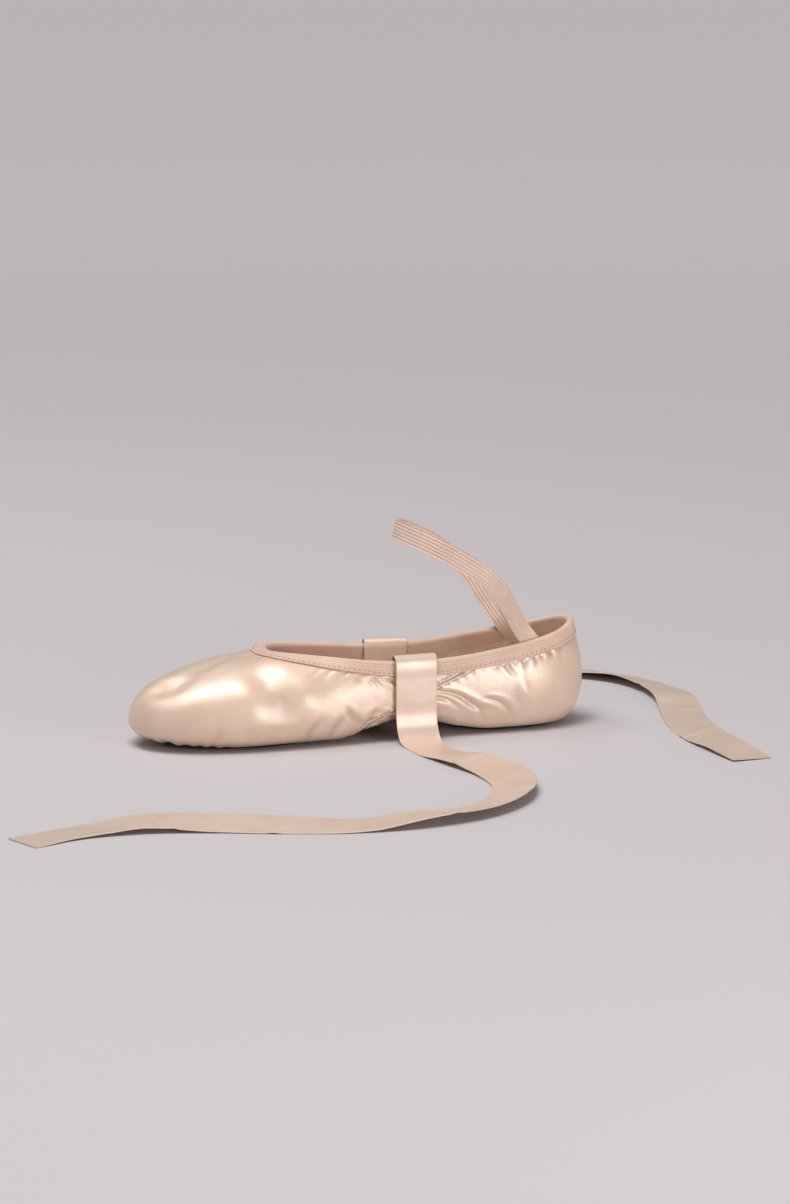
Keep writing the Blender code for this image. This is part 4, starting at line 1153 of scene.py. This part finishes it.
def flat_profile(width, thick, count, cut):
    """A flat section, point by point round it: `cut` gives how far each face is cut in at a share of the
    width from -1 to 1; the edges are rounded by the last points."""
    share = np.sin(np.linspace(-math.pi / 2, math.pi / 2, count))
    level = thick / 2 - cut(share)
    level[[0, -1]] *= 0.35
    top = np.stack([share * width / 2, level], axis=1)
    return np.concatenate([top, top[::-1] * (1, -1)])


def grooved(share):
    """How deep the strap's grooves are at a share of its width."""
    return 0.26 * MM * (0.5 - 0.5 * np.cos(share * STRAP_GROOVES * math.pi)) ** 2


read, tangent = open_spline(strap_rows(-1) + strap_rows(1)[-2::-1], 260)
middle = read[:, :3]
widthways = unit(np.cross(tangent, read[:, 3:]))
ribs = flat_profile(STRAP_WIDTH, STRAP_THICK, 61, grooved)
arch = swept(middle, widthways, np.cross(widthways, tangent), ribs)
strap = grid_piece("ankle_elastic", arch, [STRAP], tube=True, caps="rows")
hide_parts("elastic_strap")
print("strap is", round(float(lengths(middle, 0)[-1] / MM)), "mm long")

# %% [markdown]
# ## The ribbons
# Satin ribbon is thin, with a firmer woven edge on both sides, and keeps soft creases where it was wound and
# tied. The section is a flat one with thicker edges; the creases are low ridges that run slantwise across.

# %% Ribbons
# how far along each crease crosses the middle in mm, its slant and its height in mm
CREASES = {
    "ribbon_inner": (
        (118, 0.5, 0.50), (176, -0.7, 0.45), (205, 0.3, 0.35), (262, 0.8, 0.50), (331, -0.4, 0.45),
        (388, 0.5, 0.40),
    ),
    "ribbon_outer": (
        (124, -0.5, 0.45), (168, 0.6, 0.50), (236, -0.3, 0.40), (289, 0.7, 0.50), (352, -0.6, 0.40),
        (410, 0.4, 0.45),
    ),
}


def ribbon_piece(name, middle, widthways, normals):
    """A thin band: its edges are as thick as its solid, the rest a little thinner; low ridges across it
    lift it off the floor where it was creased."""
    profile = flat_profile(RIBBON_WIDTH, RIBBON_THICK, 33, lambda share: 0.07 * MM * (np.abs(share) < 0.93))
    grid = swept(middle, widthways, normals, profile)
    run = lengths(middle, 0)[:, None]
    for at, slant, high in CREASES[name]:
        grid[..., 2] += high * MM * bell(run - at * MM + slant * profile[:, 0], 2.6 * MM)
    made = grid_piece("satin_" + name, grid, [RIBBON], tube=True, caps="rows")
    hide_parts(name)
    float(lengths(middle, 0)[-1])


for name, (middle, widthways, normals) in RIBBONS.items():
    ribbon_piece(name, middle, widthways, normals)

# %% [markdown]
# ## Floor and light
# The floor is one pale sheet, so large that its end lies beyond every view. Its colour is painted shade and
# light: darker near the shoe and paler far away, where only the wide soft sun from above the camera's left
# lights it. A soft lamp high over the shoe gives the satin its broad highlights, a low one at the right lifts
# the arch and heel, and one from behind draws the vamp.

# %% Stage
paper_finish = bpy.data.materials.new("studio_paper")
paper_finish.use_nodes = True
tree = paper_finish.node_tree
paper = tree.nodes["Principled BSDF"]
# Painted shade and light: the floor's colour grades from darker near the shoe to paler far away.
middle = add(tree, "TexCoord").outputs["Object"]
away = add(tree, "VectorMath", {0: middle}, operation="LENGTH").outputs["Value"]
share = add(tree, "MapRange", {"Value": away, "From Min": 0.3, "From Max": 2.8}).outputs["Result"]
shade = blended(tree, share, tone(199, 193, 195), tone(242, 236, 239))
tree.links.new(shade, paper.inputs["Base Color"])
paper.inputs["Roughness"].default_value = 0.8

side = np.array((-20.0, 20.0))
x, y = np.meshgrid(side, side, indexing="ij")
sheet = bpy.data.meshes.new("studio_floor")
sheet.from_pydata(np.stack([x, y, 0 * x], axis=-1).reshape(-1, 3).tolist(), [], [(0, 2, 3, 1)])
sheet.materials.append(paper_finish)
floor = added("studio_floor", sheet)

# %% Lamps and world


def lamp(name, kind, place, energy, colour, **settings):
    """A soft lamp aimed at the shoe."""
    made = added(name, bpy.data.lights.new(name, kind))
    made.data.energy = energy
    made.data.color = colour
    for key, value in settings.items():
        setattr(made.data, key, value)
    made.location = place
    made.rotation_euler = (Vector((0.0, 0.0, 0.03)) - Vector(place)).to_track_quat("-Z", "Y").to_euler()


lamp("sun", "SUN", (-0.5, -0.5, 2.4), 1.05, (1.0, 0.985, 0.965), angle=math.radians(40))
lamp("key", "AREA", (-0.32, -0.3, 1.5), 9, (1.0, 0.99, 0.98), size=0.6)
lamp("side", "AREA", (0.66, -1.3, 0.2), 7, (1.0, 0.99, 0.98), size=0.38)
lamp("top", "AREA", (-0.6, 0.45, 1.4), 4, (1.0, 0.98, 0.97), size=0.5)
world = bpy.data.worlds.new("studio")
world.use_nodes = True
world.node_tree.nodes["Background"].inputs["Color"].default_value = (0.9, 0.91, 0.94, 1)
world.node_tree.nodes["Background"].inputs["Strength"].default_value = 0.27
bpy.context.scene.world = world
bpy.context.scene.view_settings.view_transform = "Standard"
